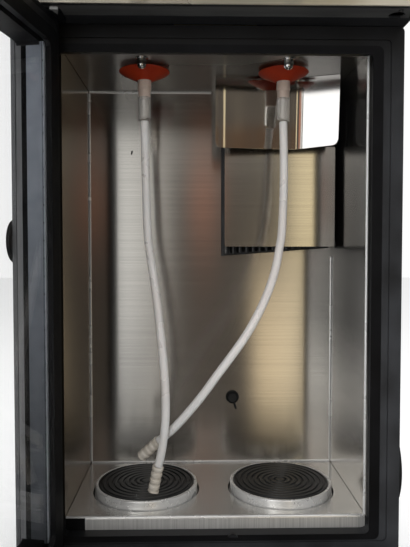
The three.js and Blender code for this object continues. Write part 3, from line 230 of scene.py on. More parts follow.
# A lighter copy of the spacer's grey for its edge: painted light
spacer_side_lit = surface("spacer_side_lit", (0.6, 0.62, 0.67), (0.7, 0.72, 0.77), (0.5, 0.6), 0.1, 120)
mat_rubber = surface("mat_rubber", (0.016, 0.0165, 0.017), (0.03, 0.0305, 0.031), (0.32, 0.45), 0.0, 60)
zinc = surface("zinc", (0.26, 0.26, 0.255), (0.36, 0.36, 0.355), (0.35, 0.45), 0.5, 60)
border_paint = surface("border_paint", (0.006, 0.006, 0.007), (0.01, 0.01, 0.011), (0.3, 0.4), 0.0, 40)
rubber = surface(
    "rubber", (0.009, 0.0095, 0.01), (0.015, 0.0155, 0.016), (0.5, 0.62), 0.0, 90, bump=0.00003,
    Specular_IOR_Level=0.4)
gasket_rubber = surface(
    "gasket_rubber", (0.004, 0.0042, 0.0046), (0.008, 0.0083, 0.009), (0.45, 0.6), 0.0, 70,
    Specular_IOR_Level=0.15)
# The silicone's red is darkened for the ceiling's shade over the cones: painted shade
silicone = surface(
    "silicone", (0.25, 0.016, 0.003), (0.37, 0.034, 0.006), (0.48, 0.6), 0.0, 60,
    Subsurface_Weight=0.05, Specular_IOR_Level=0.25)
foam = surface("foam", (0.02, 0.02, 0.021), (0.04, 0.04, 0.042), (0.85, 0.95), 0.0, 200, bump=0.0002)
ceramic = surface("ceramic", (0.7, 0.7, 0.68), (0.8, 0.8, 0.78), (0.5, 0.6), 0.0, 60)
key_plastic = surface("key_plastic", (0.6, 0.6, 0.58), (0.68, 0.68, 0.66), (0.35, 0.45), 0.0, 60)
tubing = surface(
    "tubing", (0.84, 0.775, 0.73), (0.9, 0.885, 0.86), (0.22, 0.34), 0.0, 22,
    Transmission_Weight=0.25, Subsurface_Weight=0.5, Subsurface_Radius=(1, 0.95, 0.9), Subsurface_Scale=0.004,
    IOR=1.45)
tip_plastic = surface(
    "tip_plastic", (0.62, 0.55, 0.45), (0.8, 0.75, 0.67), (0.3, 0.45), 0.0, 160, Transmission_Weight=0.2)
clear_plastic = surface(
    "clear_plastic", (0.8, 0.76, 0.7), (0.9, 0.88, 0.84), (0.12, 0.22), 0.0, 60,
    Transmission_Weight=0.75, IOR=1.45)
neck_plastic = surface(
    "neck_plastic", (0.62, 0.47, 0.38), (0.76, 0.64, 0.55), (0.25, 0.38), 0.0, 60,
    Transmission_Weight=0.35)
display_glass = surface("display_glass", (0.02, 0.022, 0.024), (0.03, 0.032, 0.034), (0.06, 0.1), 0.0, 40)
glass = surface(
    "glass", (0.996, 0.998, 0.998), (0.998, 1.0, 1.0), (0.0, 0.01), 0.0, 12,
    Transmission_Weight=1.0, IOR=1.2)


def paint_shade_along(material, axis, stops):
    """Painted light and shade: the colour is scaled along one axis of the piece's own box."""
    tree = material.node_tree
    shader = tree.nodes["Principled BSDF"]
    colour = shader.inputs["Base Color"].links[0].from_socket
    where = tree.nodes.new("ShaderNodeTexCoord")
    split = tree.nodes.new("ShaderNodeSeparateXYZ")
    tree.links.new(where.outputs["Generated"], split.inputs["Vector"])
    scale = ramp(tree, split.outputs[axis], [(at, (level, level, level)) for at, level in stops])
    both = tree.nodes.new("ShaderNodeVectorMath")
    both.operation = "MULTIPLY"
    tree.links.new(colour, both.inputs[0])
    tree.links.new(scale.outputs["Color"], both.inputs[1])
    tree.links.new(both.outputs["Vector"], shader.inputs["Base Color"])


# Painted shade on the front frame: darker at the top under the head and at the left, lighter at the bottom
# and the right
paint_shade_along(frame_plastic, "Z", [(0.0, 1.7), (0.1, 1.3), (0.6, 1.1), (0.9, 0.7), (0.97, 0.35)])
paint_shade_along(frame_plastic, "X", [(0.0, 0.3), (0.1, 0.35), (0.2, 0.9), (0.8, 1.0), (0.95, 1.5)])
# Painted light on the mats: lighter towards the right
paint_shade_along(mat_rubber, "X", [(0.0, 0.9), (1.0, 1.2)])
# Painted light on the right wall: a bright band low down, painted shade above it
paint_shade_along(right_steel_painted_light, "Z", [(0.0, 2.3), (0.2, 2.2), (0.4, 0.4), (0.75, 0.4), (1.0, 0.9)])
# Painted reflection and shade on the deck: dark at the left, where it mirrors the dark door, lighter at the
# right
paint_shade_along(deck_steel, "X", [(0.0, 0.2), (0.18, 0.28), (0.38, 0.85), (0.6, 1.15), (1.0, 1.18)])
# Painted shade on the fascia: dark at its left end, lighter to the right where the light falls
paint_shade_along(fascia_steel, "X", [(0.0, 0.1), (0.08, 0.25), (0.16, 0.75), (0.3, 0.9), (0.7, 1.0), (1.0, 1.15)])
# Painted shade on the spacer's side bars: darker towards the bottom
paint_shade_along(spacer_gray, "Z", [(0.0, 0.22), (0.25, 0.3), (0.5, 0.55), (0.75, 0.85), (0.92, 1.0)])

CAD_LOOKS = [
    (moulding, ["base_pan", "ledge_housing", "power_inlet", "nozzle_housing", "fan_frame", "fan_rotor"]),
    (moulding, ["hinge_plate_upper", "door_frame"]),
    (casing_black, ["casing", "rear_panel", "head_housing"]),
    (frame_plastic, ["front_frame"]),
    # The glass spacer is drawn black as painted shade
    (hollow_black, ["glass_spacer"]),
    (plate_steel, ["drip_tray", "head_underside"]),
    (cover_steel, ["drip_grille", "cooler_cover"]),
    (cup_steel, ["platform_cup_left", "platform_cup_right"]),
    (spring_steel, ["platform_spring_left", "platform_spring_right"]),
    (deck_steel, ["deck_plate"]),
    (left_steel_painted_shade, ["liner_left"]),
    (right_steel_painted_light, ["liner_right"]),
    (wall_steel, ["liner_back"]),
    (ceiling_steel, ["liner_ceiling"]),
    (fascia_steel, ["fascia"]),
    (deflector_steel, ["air_deflector"]),
    (chrome, ["spout_left", "spout_right", "pour_button_left", "pour_button_right"]),
    (chrome, ["hinge_plate_lower", "door_handle"]),
    (brass, ["gas_inlet", "valve_block"]),
    (aluminium, ["hot_sink"]),
    (fin_metal, ["cold_sink"]),
    (ceramic, ["peltier_module"]),
    (foam, ["insulation"]),
    (mat_rubber, ["platform_mat_left", "platform_mat_right"]),
    (rubber, ["side_cap", "temperature_sensor"]),
    (gasket_rubber, ["door_gasket"]),
    (silicone, ["stopper_cone_left", "stopper_cone_right"]),
    (clear_plastic, ["stopper_stem_left", "stopper_stem_right"]),
    (tubing, ["dip_tube_left", "dip_tube_right", "wine_line_left", "wine_line_right"]),
    (tip_plastic, ["tube_tip_left", "tube_tip_right"]),
    (key_plastic, ["power_button", "cooling_button"]),
    (glass, ["door_pane_outer", "door_pane_inner"]),
    (display_glass, ["display_window"]),
]
for look, nodes in CAD_LOOKS:
    for node in nodes:
        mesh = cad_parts[node].data
        mesh.materials.clear()
        mesh.materials.append(look)


# Shapes

SIDES = (("left", -1), ("right", 1))
SHARP_ANGLE = 32


def add(name, mesh, look, body, stands_for=()):
    """A piece that rides on a body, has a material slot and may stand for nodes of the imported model."""
    obj = bpy.data.objects.new(name, mesh)
    bpy.context.scene.collection.objects.link(obj)
    mesh.materials.append(look)
    mesh.shade_smooth()
    mesh.set_sharp_from_angle(angle=math.radians(SHARP_ANGLE))
    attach(obj, body)
    if stands_for:
        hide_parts(*stands_for)
    return obj


def mesh_of(name, points, faces):
    """A mesh whose faces all look outwards."""
    mesh = bpy.data.meshes.new(name)
    mesh.from_pydata([tuple(p) for p in points], [], faces)
    shape = bmesh.new()
    shape.from_mesh(mesh)
    bmesh.ops.recalc_face_normals(shape, faces=shape.faces)
    shape.to_mesh(mesh)
    shape.free()
    return mesh


def prism(name, outline, start, end, axis, hole=None):
    """A straight bar in millimetres: the outline's two numbers are the other two axes, in XYZ order."""
    def point(u, v, w):
        return {"X": (w, u, v), "Y": (u, w, v), "Z": (u, v, w)}[axis]

    rings = [outline] if hole is None else [outline, hole]
    points = []
    for ring in rings:
        for w in (start, end):
            points += [Vector(point(u, v, w)) * MM for u, v in ring]
    faces = []
    base = 0
    for ring in rings:
        count = len(ring)
        for i in range(count):
            j = (i + 1) % count
            faces.append((base + i, base + j, base + count + j, base + count + i))
        base += 2 * count
    count = len(outline)
    if hole is None:
        faces.append(tuple(range(count)))
        faces.append(tuple(range(count, 2 * count)))
    else:
        for lift in (0, count):
            for i in range(count):
                j = (i + 1) % count
                faces.append((lift + i, lift + j, 2 * count + lift + j, 2 * count + lift + i))
    return mesh_of(name, points, faces)


def arc(u, v, radius, start, end, steps=5):
    """Points on part of a circle, its two angles in degrees."""
    angles = [math.radians(start + (end - start) * i / steps) for i in range(steps + 1)]
    return [(u + radius * math.cos(a), v + radius * math.sin(a)) for a in angles]


def rounded(u0, v0, u1, v1, radius):
    """A rectangle with rounded corners."""
    corners = [
        (u1 - radius, v0 + radius, -90), (u1 - radius, v1 - radius, 0), (u0 + radius, v1 - radius, 90),
        (u0 + radius, v0 + radius, 180),
    ]
    return [point for u, v, start in corners for point in arc(u, v, radius, start, start + 90)]


def turned(name, profile, segments):
    """A mesh turned about a vertical axis, from (radius, height) points in millimetres."""
    closed = profile[0][0] > 0 or profile[-1][0] > 0
    points = []
    faces = []
    starts = []
    for r, z in profile:
        starts.append(len(points))
        if r <= 0:
            points.append((0, 0, z * MM))
            continue
        for i in range(segments):
            angle = 2 * math.pi * i / segments
            points.append((r * MM * math.cos(angle), r * MM * math.sin(angle), z * MM))
    last = len(profile) - 1
    pairs = [(i, i + 1) for i in range(last)]
    if closed:
        pairs.append((last, 0))
    for a, b in pairs:
        for i in range(segments):
            j = (i + 1) % segments
            if profile[a][0] <= 0 and profile[b][0] <= 0:
                continue
            if profile[a][0] <= 0:
                faces.append((starts[a], starts[b] + j, starts[b] + i))
            elif profile[b][0] <= 0:
                faces.append((starts[a] + i, starts[a] + j, starts[b]))
            else:
                faces.append((starts[a] + i, starts[a] + j, starts[b] + j, starts[b] + i))
    return mesh_of(name, points, faces)


def tube_curve(name, points, radius, look, body):
    """A curve with a round section through the points, in the row frame."""
    data = bpy.data.curves.new(name, "CURVE")
    data.dimensions = "3D"
    data.bevel_depth = radius
    data.bevel_resolution = 8
    data.use_fill_caps = True
    spline = data.splines.new("NURBS")
    spline.points.add(len(points) - 1)
    for point, at in zip(spline.points, points):
        point.co = (*at, 1)
    spline.order_u = 4
    spline.use_endpoint_u = True
    spline.resolution_u = 3
    spline.use_smooth = True
    obj = bpy.data.objects.new(name, data)
    bpy.context.scene.collection.objects.link(obj)
    data.materials.append(look)
    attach(obj, body)
    return obj


def smooth_line(points, steps):
    """Evenly spaced points on a Catmull-Rom curve through the given ones, and its length."""
    dense = []
    parts = 12
    count = len(points)
    for i in range(count - 1):
        before = points[i - 1] if i > 0 else points[0] * 2 - points[1]
        after = points[i + 2] if i + 2 < count else points[-1] * 2 - points[-2]
        a, b = points[i], points[i + 1]
        for k in range(parts):
            t = k / parts
            dense.append(0.5 * ((2 * a) + (b - before) * t + (2 * before - 5 * a + 4 * b - after) * t * t
                                + (3 * a - before - 3 * b + after) * t * t * t))
    dense.append(points[-1])
    lengths = [0.0]
    for a, b in zip(dense, dense[1:]):
        lengths.append(lengths[-1] + (b - a).length)
    line = []
    at = 0
    for k in range(steps + 1):
        goal = lengths[-1] * k / steps
        while at < len(lengths) - 2 and lengths[at + 1] < goal:
            at += 1
        share = (goal - lengths[at]) / (lengths[at + 1] - lengths[at])
        line.append(dense[at].lerp(dense[at + 1], min(1.0, share)))
    return line, lengths[-1]


# Pieces of the cabinet are drawn from the bay's middle and front line, in millimetres

HOME = Matrix.Translation(place(0, 0, 0))


def home_bar(name, outline, start, end, axis, look, hole=None):
    """A prism that stays with the cabinet."""
    obj = add(name, prism(name, outline, start, end, axis, hole), look, "cabinet")
    obj.matrix_world = HOME
    return obj


def stand(name, mesh, centre, look, body, stands_for=()):
    """A turned piece whose axis stands at a place."""
    obj = add(name, mesh, look, body, stands_for)
    obj.location = centre
    return obj


# Bottle platforms: a polished cup with a ribbed mat, and a dark ring under the deck's edge, round the cup, as
# painted shade in the gap

SPREAD = 49.75
PLATFORM_Y = 42.0
CUP = [
    (0, 95.5), (35.2, 95.5), (35.2, 97.6), *arc(35.7, 97.6, 0.5, 180, 90), *arc(36.5, 97.2, 0.9, 90, 0),
    (37.4, 90.5), (40.7, 90.5), (40.7, 88.5), (36.1, 88.5), (36.1, 94.2), (5.7, 94.2), (5.7, 43.8), (0, 43.8),
]
MAT_RADIUS = 34.9
MAT_TOP = 98.4
MAT_ROUND = 0.7
GROOVES = 8
GROOVE_STEP = 4.1
GROOVE_FLOOR = MAT_TOP - 0.9
GROOVE_WIDE, GROOVE_NARROW = 0.95, 0.5
MAT = [(0, 95.8), (MAT_RADIUS, 95.8), *arc(MAT_RADIUS - MAT_ROUND, MAT_TOP - MAT_ROUND, MAT_ROUND, 0, 90, 4)]
for groove in range(GROOVES, 0, -1):
    r = GROOVE_STEP * groove
    MAT += [(r + GROOVE_WIDE, MAT_TOP), (r + GROOVE_NARROW, GROOVE_FLOOR)]
    MAT += [(r - GROOVE_NARROW, GROOVE_FLOOR), (r - GROOVE_WIDE, MAT_TOP)]
    if groove > 1:
        MAT.append((r - GROOVE_STEP / 2, MAT_TOP))
MAT.append((0, MAT_TOP))
# A black ring under the deck, round each cup: painted shade in the gap
GAP_SHADE_RING = [(37.8, 90.58), (41.5, 90.58), (41.5, 90.74), (37.8, 90.74)]

for side, sign in SIDES:
    centre = place(sign * SPREAD, PLATFORM_Y, 0)
    platform = f"{side}_platform"
    stand(f"cup_{side}", turned(f"cup_{side}", CUP, 128), centre, cup_steel, platform,
          [f"platform_cup_{side}"])
    stand(f"mat_{side}", turned(f"mat_{side}", MAT, 128), centre, mat_rubber, platform,
          [f"platform_mat_{side}"])
    ring = turned(f"platform_gap_shade_{side}", GAP_SHADE_RING, 96)
    stand(f"platform_gap_shade_{side}", ring, centre, hollow_black, "cabinet")


# Deck: a sheet with two round holes, bent down in front, and the bends where the bay's sheets meet, in
# lighter steel as a painted highlight

SHEET = 1.2
SHEET_HALF = 99.7
SHEET_FRONT, SHEET_BACK = -4.0, 95.7
DECK_TOP = 92.0
DECK_HOLE = 39.0
LIP_LOW = 83.3
BEND = 1.6


def plate_with_holes(name, low, high, top, holes, look):
    """A flat sheet with round holes, in millimetres."""
    data = bpy.data.curves.new(name, "CURVE")
    data.dimensions = "2D"
    data.fill_mode = "BOTH"
    data.extrude = SHEET / 2 * MM
    outlines = [[(low[0], low[1]), (high[0], low[1]), (high[0], high[1]), (low[0], high[1])]]
    for x, y, radius in holes:
        outlines.append(arc(x, y, radius, 0, 357, 119))
    for points in outlines:
        spline = data.splines.new("POLY")
        spline.points.add(len(points) - 1)
        spline.use_cyclic_u = True
        for point, (x, y) in zip(spline.points, points):
            point.co = (x * MM, y * MM, 0, 1)
    source = bpy.data.objects.new(name + "_outline", data)
    bpy.context.scene.collection.objects.link(source)
    bpy.context.view_layer.update()
    mesh = bpy.data.meshes.new_from_object(source.evaluated_get(bpy.context.evaluated_depsgraph_get()))
    bpy.data.objects.remove(source)
    mesh.name = name
    mesh.materials.clear()
    obj = add(name, mesh, look, "cabinet")
    obj.matrix_world = HOME @ Matrix.Translation((0, 0, (top - SHEET / 2) * MM))
    return obj


holes = [(-SPREAD, PLATFORM_Y, DECK_HOLE), (SPREAD, PLATFORM_Y, DECK_HOLE)]
deck = plate_with_holes(
    "deck_sheet", (-SHEET_HALF, SHEET_FRONT + BEND), (SHEET_HALF, SHEET_BACK), DECK_TOP, holes, deck_steel)
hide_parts("deck_plate")
BEND_AT = (SHEET_FRONT + BEND, DECK_TOP - BEND)
LIP_BEND = [*arc(*BEND_AT, BEND, 90, 180, 8), *arc(*BEND_AT, BEND - SHEET, 180, 90, 4)]
LIP = [
    (SHEET_FRONT, DECK_TOP - BEND), (SHEET_FRONT, LIP_LOW), (SHEET_FRONT + SHEET, LIP_LOW),
    (SHEET_FRONT + SHEET, DECK_TOP - BEND),
]
home_bar("deck_bend", LIP_BEND, -SHEET_HALF, SHEET_HALF, "X", bend_steel_highlight)
home_bar("deck_lip", LIP, -SHEET_HALF, SHEET_HALF, "X", lip_steel)


def cove(name, corner, radius, faces_to, start, end, axis):
    """A thin bend in the corner between two sheets; faces_to is the angle that its hollow side faces."""
    angle = math.radians(faces_to)
    away = radius * math.sqrt(2)
    u = corner[0] + away * math.cos(angle)
    v = corner[1] + away * math.sin(angle)
    outline = arc(u, v, radius, faces_to + 135, faces_to + 225, 8) + [corner]
    return home_bar(name, outline, start, end, axis, bend_steel_highlight)


CORNER_X, CORNER_Y = 99.95, 95.95
FLOOR_BEND, SIDE_BEND = 1.5, 1.2
cove("bend_floor", (CORNER_Y, DECK_TOP + 0.05), FLOOR_BEND, 135, -99.5, 99.5, "X")
cove("bend_roof", (CORNER_Y, 398.65), FLOOR_BEND, 225, -99.5, 0.0, "X")
cove("bend_left", (-CORNER_X, CORNER_Y), SIDE_BEND, -45, DECK_TOP + FLOOR_BEND, 397.2, "Z")
cove("bend_right", (CORNER_X, CORNER_Y), SIDE_BEND, 225, DECK_TOP + FLOOR_BEND, 264.0, "Z")


# Air deflector: two flat parts with a soft bend between them, leaning, its lower edge rising to the right

DEFLECTOR = [(1.6, 46.9), (14.0, 48.8), (34.0, 51.3), (63.2, 54.2), (65.4, 54.3), (67.4, 53.8), (93.4, 45.2)]
DEFLECTOR_LOW, DEFLECTOR_HIGH = 346.1, 398.5
DEFLECTOR_CORNER = 4.0
DEFLECTOR_ROWS = 12
LEAN = 0.107
RISE_START, RISE_LENGTH, RISE = 62, 31.4, 2.1
SOFT_REACH = 3.1
SOFT_FROM, SOFT_TO = 5, 90


def deflector_mesh(front):
    """The sheet's columns run along its front line, about a millimetre apart, with its bends evened out."""
    columns = []
    for (xa, ya), (xb, yb) in zip(front, front[1:]):
        count = max(1, round(xb - xa))
        columns += [(xa + (xb - xa) * k / count, ya + (yb - ya) * k / count) for k in range(count)]
    columns.append(front[-1])
    soft = []
    for x, y in columns:
        near = [v for u, v in columns if abs(u - x) <= SOFT_REACH]
        soft.append((x, sum(near) / len(near) if SOFT_FROM < x < SOFT_TO else y))
    points, faces = [], []
    rows = DEFLECTOR_ROWS
    corner = DEFLECTOR_CORNER
    for x, y in soft:
        edge = min(x - front[0][0], front[-1][0] - x)
        cut = corner - math.sqrt(max(0.0, corner * corner - max(0.0, corner - edge) ** 2))
        low_z = DEFLECTOR_LOW + cut + max(0.0, (x - RISE_START) / RISE_LENGTH) * RISE
        for deep in (0, SHEET):
            for k in range(rows + 1):
                z = low_z + (DEFLECTOR_HIGH - low_z) * k / rows
                points.append((x * MM, (y + deep + (DEFLECTOR_HIGH - z) * LEAN) * MM, z * MM))
    step = 2 * (rows + 1)
    for i in range(len(soft) - 1):
        a, b = i * step, (i + 1) * step
        for side in (0, rows + 1):
            faces += [(a + side + k, b + side + k, b + side + k + 1, a + side + k + 1) for k in range(rows)]
        for k in (0, rows):
            faces.append((a + k, b + k, b + rows + 1 + k, a + rows + 1 + k))
    for a in (0, (len(soft) - 1) * step):
        faces += [(a + k, a + k + 1, a + rows + 2 + k, a + rows + 1 + k) for k in range(rows)]
    return mesh_of("deflector_sheet", points, faces)


deflector = add(
    "deflector_sheet", deflector_mesh(DEFLECTOR), deflector_steel, "cabinet", ["air_deflector"])
deflector.matrix_world = HOME


# Ceiling sheet, and the domed nuts that hold it in front of the stoppers

STOPPER_Y = 35.4
STEM_HOLE = 5
ROOF_TOP = 399.9
ROOF_LOW = 398.7
holes = [(-SPREAD, STOPPER_Y, STEM_HOLE), (SPREAD, STOPPER_Y, STEM_HOLE)]
roof = plate_with_holes(
    "ceiling_sheet", (-SHEET_HALF, SHEET_FRONT), (SHEET_HALF, SHEET_BACK), ROOF_TOP, holes, ceiling_steel)
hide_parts("liner_ceiling")
ROOF_LIP = [
    (SHEET_FRONT, 395.1), (SHEET_FRONT + SHEET, 395.1), (SHEET_FRONT + SHEET, ROOF_LOW),
    (SHEET_FRONT, ROOF_LOW),
]
home_bar("ceiling_lip", ROOF_LIP, -SHEET_HALF, SHEET_HALF, "X", ceiling_steel)
NUT_Y = 13.0
NUT = [
    (0, ROOF_LOW), (4.4, ROOF_LOW), *arc(4.1, 398.2, 0.3, 0, -90, 3), (3.3, 397.9), (3.3, 394.6),
    *arc(0, 394.6, 3.3, 0, -82.5, 11), (0, 391.3),
]
for side, sign in SIDES:
    nut = turned(f"dome_nut_{side}", NUT, 64)
    stand(f"dome_nut_{side}", nut, place(sign * SPREAD, NUT_Y, 0), chrome, "cabinet")


# Stoppers: silicone cone under a clear plastic flange, with its neck and its slanting sleeve

CONE = [
    (5.2, 389.6), *arc(5.9, 390.0, 0.4, -90, -20, 3), (11.0, 392.1), (16.2, 394.5), (17.4, 395.4),
    *arc(17.6, 396.0, 0.35, -60, 120, 5), (16.4, 395.6), (5.2, 395.0),
]
FLANGE = [
    (2.0, 390.6), (4.9, 390.6), (4.9, 396.2), (8.4, 396.2), *arc(8.4, 396.65, 0.45, -90, 90, 6), (7.0, 397.1),
    (7.0, 398.4), (4.7, 398.4), (4.7, 409.4), (9.0, 409.4), (9.0, 415.4), (4.7, 415.4), (4.7, 437.4),
    (2.0, 437.4),
]
NECK = [
    (2.95, 378.0), (4.2, 378.0), (4.35, 380.5), *arc(4.5, 383.6, 0.35, -90, 0, 3), (4.9, 384.5),
    (4.75, 390.5), (2.95, 390.5),
]
SLEEVE_TOP = 377.9
SLEEVE_END = 361.3
SLEEVE_SLANT = 0.22
SLEEVE_LIFT = 1.0
SLEEVE = [
    (2.95, SLEEVE_END), *arc(4.2, SLEEVE_END + 0.3, 0.3, -90, 0, 3), (4.6, SLEEVE_TOP - 0.8),
    *arc(4.2, SLEEVE_TOP - 0.4, 0.4, 0, 90, 3), (2.95, SLEEVE_TOP),
]


def slanting_sleeve(name, sign):
    """The sleeve's lower end is cut at a slant, and is lowest towards the bay's side wall."""
    mesh = turned(name, SLEEVE, 64)
    for vertex in mesh.vertices:
        if vertex.co.z < (SLEEVE_END + 1) * MM:
            vertex.co.z += vertex.co.x * -SLEEVE_SLANT * sign + SLEEVE_LIFT * MM
    return mesh


for side, sign in SIDES:
    centre = place(sign * SPREAD, STOPPER_Y, 0)
    stand(f"cone_{side}", turned(f"cone_{side}", CONE, 96), centre, silicone, "cabinet",
          [f"stopper_cone_{side}"])
    stand(f"flange_{side}", turned(f"flange_{side}", FLANGE, 96), centre, clear_plastic, "cabinet",
          [f"stopper_stem_{side}"])
    stand(f"neck_{side}", turned(f"neck_{side}", NECK, 64), centre, neck_plastic, "cabinet")
    sleeve = slanting_sleeve(f"sleeve_{side}", sign)
    stand(f"sleeve_{side}", sleeve, centre, clear_plastic, "cabinet")


# Dip tubes, from under each stopper's sleeve to the tip

LEFT_ROUTE = [
    (-49.75, 35.4, 361), (-49.6, 34.6, 354), (-48.5, 30.5, 318), (-47.2, 26, 283), (-45.1, 23.2, 265.6),
    (-42.3, 20.4, 248), (-39.9, 17.6, 231), (-37.8, 14.8, 213.8), (-35.8, 12, 195), (-34.3, 9.6, 177),
    (-33.9, 8.2, 158), (-34.8, 7.9, 144.3), (-37.2, 8.8, 128.8), (-39.2, 9.9, 121),
]
RIGHT_ROUTE = [
    (49.75, 35.4, 361), (49.9, 34.6, 354), (49.4, 29, 318), (47, 21.2, 282), (45.1, 18.4, 272.4),
    (41.4, 14.2, 255), (33.7, 9.4, 235), (22.9, 5.6, 215), (13.2, 4.3, 201), (-0.2, 4.8, 182.8),
    (-10.6, 7.2, 168), (-27.4, 13.2, 147), (-39.2, 18.2, 135.6),
]
TUBE_RADIUS = 0.0029
TUBE_STEPS = 36

TIP_ENDS = {"left": (-43.3, 13.4, 100.4), "right": (-53, 25.4, 121.2)}
TIP_LENGTH = 21.0
TIP_RADIUS = 3.9
TIP_BORE = 1.8
TIP_ROUND = 0.4
TIP_SLANT = 0.3
RIBS = 4
RIB_STEP = 4.6
RIB_EDGE = TIP_RADIUS - TIP_ROUND
GROOVE_RADIUS = 3.25
TIP = [(TIP_BORE, 0.3)]
for rib in range(RIBS):
    z = 0.3 + rib * RIB_STEP
    TIP += [*arc(RIB_EDGE, z + 0.4, TIP_ROUND, -90, 0, 3), *arc(RIB_EDGE, z + 2.4, TIP_ROUND, 0, 90, 3)]
    TIP += [(GROOVE_RADIUS, z + 3.1), (GROOVE_RADIUS, z + 4.2)]
TIP += [*arc(RIB_EDGE, 19.1, TIP_ROUND, -90, 0, 3), (TIP_RADIUS, 20.6)]
TIP += [*arc(RIB_EDGE, 20.6, TIP_ROUND, 0, 90, 3), (TIP_BORE, TIP_LENGTH)]


def make_tip(side, start, end):
    """A ribbed tip from the tube's end, its own end cut at an angle."""
    mesh = turned(f"tip_{side}", TIP, 48)
    for vertex in mesh.vertices:
        if vertex.co.z > 19.6 * MM:
            vertex.co.z -= (TIP_RADIUS * MM + vertex.co.x) * TIP_SLANT
    obj = add(f"tip_{side}", mesh, tip_plastic, "cabinet", [f"tube_tip_{side}"])
    obj.matrix_world = Matrix.Translation(start) @ (end - start).to_track_quat("Z", "Y").to_matrix().to_4x4()
    return obj


for side, route in (("left", LEFT_ROUTE), ("right", RIGHT_ROUTE)):
    line, length = smooth_line([place(*p) for p in route], TUBE_STEPS)
    hose = tube_curve(f"tube_{side}", line, TUBE_RADIUS, tubing, "cabinet")
    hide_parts(f"dip_tube_{side}")
    tip = make_tip(side, line[-1], place(*TIP_ENDS[side]))


# Door: drawn shut, in the cabinet's millimetres, and turned open with the leaf

OPEN_ANGLE = 100.7
HINGE_X, HINGE_Y = -109.8, -33.5
PIVOT = place(HINGE_X, HINGE_Y, 0)
TURN = Matrix.Rotation(math.radians(-OPEN_ANGLE), 4, "Z")
OPEN = Matrix.Translation(PIVOT) @ TURN @ Matrix.Translation(-PIVOT) @ HOME
DOOR_HALF = 118
DOOR_LOW, DOOR_HIGH = 77.0, 407.1


def on_door(name, mesh, look, stands_for=()):
    """A piece that turns with the door."""
    obj = add(name, mesh, look, "door", stands_for)
    obj.matrix_world = OPEN
    return obj


def door_outline(side_in, rail_in, radius):
    """The leaf's outline, drawn in by one amount at its sides and by another above and below."""
    return rounded(-DOOR_HALF + side_in, DOOR_LOW + rail_in, DOOR_HALF - side_in, DOOR_HIGH - rail_in, radius)


def door_ring(name, outside, inside, y0, y1, look):
    """A frame between two outlines, from y0 to y1."""
    return on_door(name, prism(name, outside, y0, y1, "Y", inside), look)


FACE, LIP_BACK, BACK = -44.6, -41.9, -21.0
leaf_face = door_ring(
    "leaf_face", door_outline(0, 0, 4.0), door_outline(17.8, 7.2, 4.0), FACE, LIP_BACK, moulding)
door_ring(
    "leaf_rim", door_outline(0, 0, 4.0), door_outline(3.0, 3.0, 4.0), LIP_BACK, BACK, moulding)
door_ring(
    "leaf_trim", door_outline(17.75, 7.15, 4), door_outline(18.1, 7.5, 3.6), FACE + 0.1, LIP_BACK - 0.05,
    trim_edge)
for pane, y0, y1 in (("inner", -23.0, BACK - 0.05), ("outer", -41.7, -40.2)):
    sheet = prism(f"pane_{pane}", door_outline(12, 12, 3), y0, y1, "Y")
    on_door(f"pane_{pane}", sheet, glass, [f"door_pane_{pane}"])
for pane, y0, y1 in (("inner", -23.4, BACK - 0.05), ("outer", -41.8, -37.0)):
    outside, inside = door_outline(3.1, 3.1, 2.0), door_outline(11.9, 11.9, 3.0)
    door_ring(f"pane_edge_{pane}", outside, inside, y0, y1, border_paint)

# The buffer on the leaf's outside, a round knob that is narrower across the door
BUFFER_X, BUFFER_Z = -104.9, 274.0
BUFFER_TOP = -46.8
BUFFER_NARROW = 0.7
BUFFER = [(0, BUFFER_TOP), (8.5, BUFFER_TOP), *arc(11.9, -46.0, 0.8, -90, 0, 4), (12.7, FACE), (0, FACE)]
buffer = turned("leaf_buffer", BUFFER, 48)
for vertex in buffer.vertices:
    x, y, z = vertex.co
    vertex.co = (BUFFER_X * MM + x * BUFFER_NARROW, z, BUFFER_Z * MM + y)
on_door("leaf_buffer", buffer, moulding)

# The feet under the handle's two posts
HANDLE_X = 104
POSTS = (("low", 197.05), ("high", 287.05))
FOOT_RADIUS = 5.8
FOOT_FRONT = -49.25
for end, z in POSTS:
    foot = prism(f"handle_foot_{end}", arc(HANDLE_X, z, FOOT_RADIUS, 0, 345, 23), FOOT_FRONT, FACE, "Y")
    on_door(f"handle_foot_{end}", foot, chrome)

# The spacer between the panes: at each side a metal bar with a row of small holes, dark seals and a grey foot
SPACER_END = 19.2
SPACER_STRIPS = [
    ("spacer_face", 98.45, 98.68, -33.5, -23.12, spacer_gray, "aluminium"),
    # The spacer's edge, in the lighter copy of its grey: painted light
    ("spacer_edge", 98.45, 105.9, -23.12, -23.06, spacer_side_lit, "aluminium"),
    ("spacer_seal", 98.4, 98.68, -36.6, -33.5, hollow_black, "rubber"),
    ("spacer_foot", 98.4, 98.68, -40.1, -36.6, trim_gray, "painted_sheet"),
    ("spacer_line", 98.4, 98.5, -24.1, -23.85, hollow_black, "rubber"),
]
HOLE_STEP = 10.3
HOLE_END = 22
HOLE_RADIUS = 0.42
HOLE_Y = -23.55
HOLE_SIDES = 8


def spacer_holes(name, x0, x1):
    """A row of small dark discs, each a prism with eight sides, from x0 to x1."""
    points, faces = [], []
    n = HOLE_SIDES
    for row in range(int((DOOR_HIGH - DOOR_LOW - 2 * HOLE_END) / HOLE_STEP) + 1):
        z = DOOR_LOW + HOLE_END + row * HOLE_STEP
        base = len(points)
        for x in (x0, x1):
            points += [Vector((x, y, h)) * MM for y, h in arc(HOLE_Y, z, HOLE_RADIUS, 0, 315, n - 1)]
        faces += [tuple(range(base, base + n)), tuple(range(base + n, base + 2 * n))]
        faces += [(base + i, base + (i + 1) % n, base + n + (i + 1) % n, base + n + i) for i in range(n)]
    return mesh_of(name, points, faces)


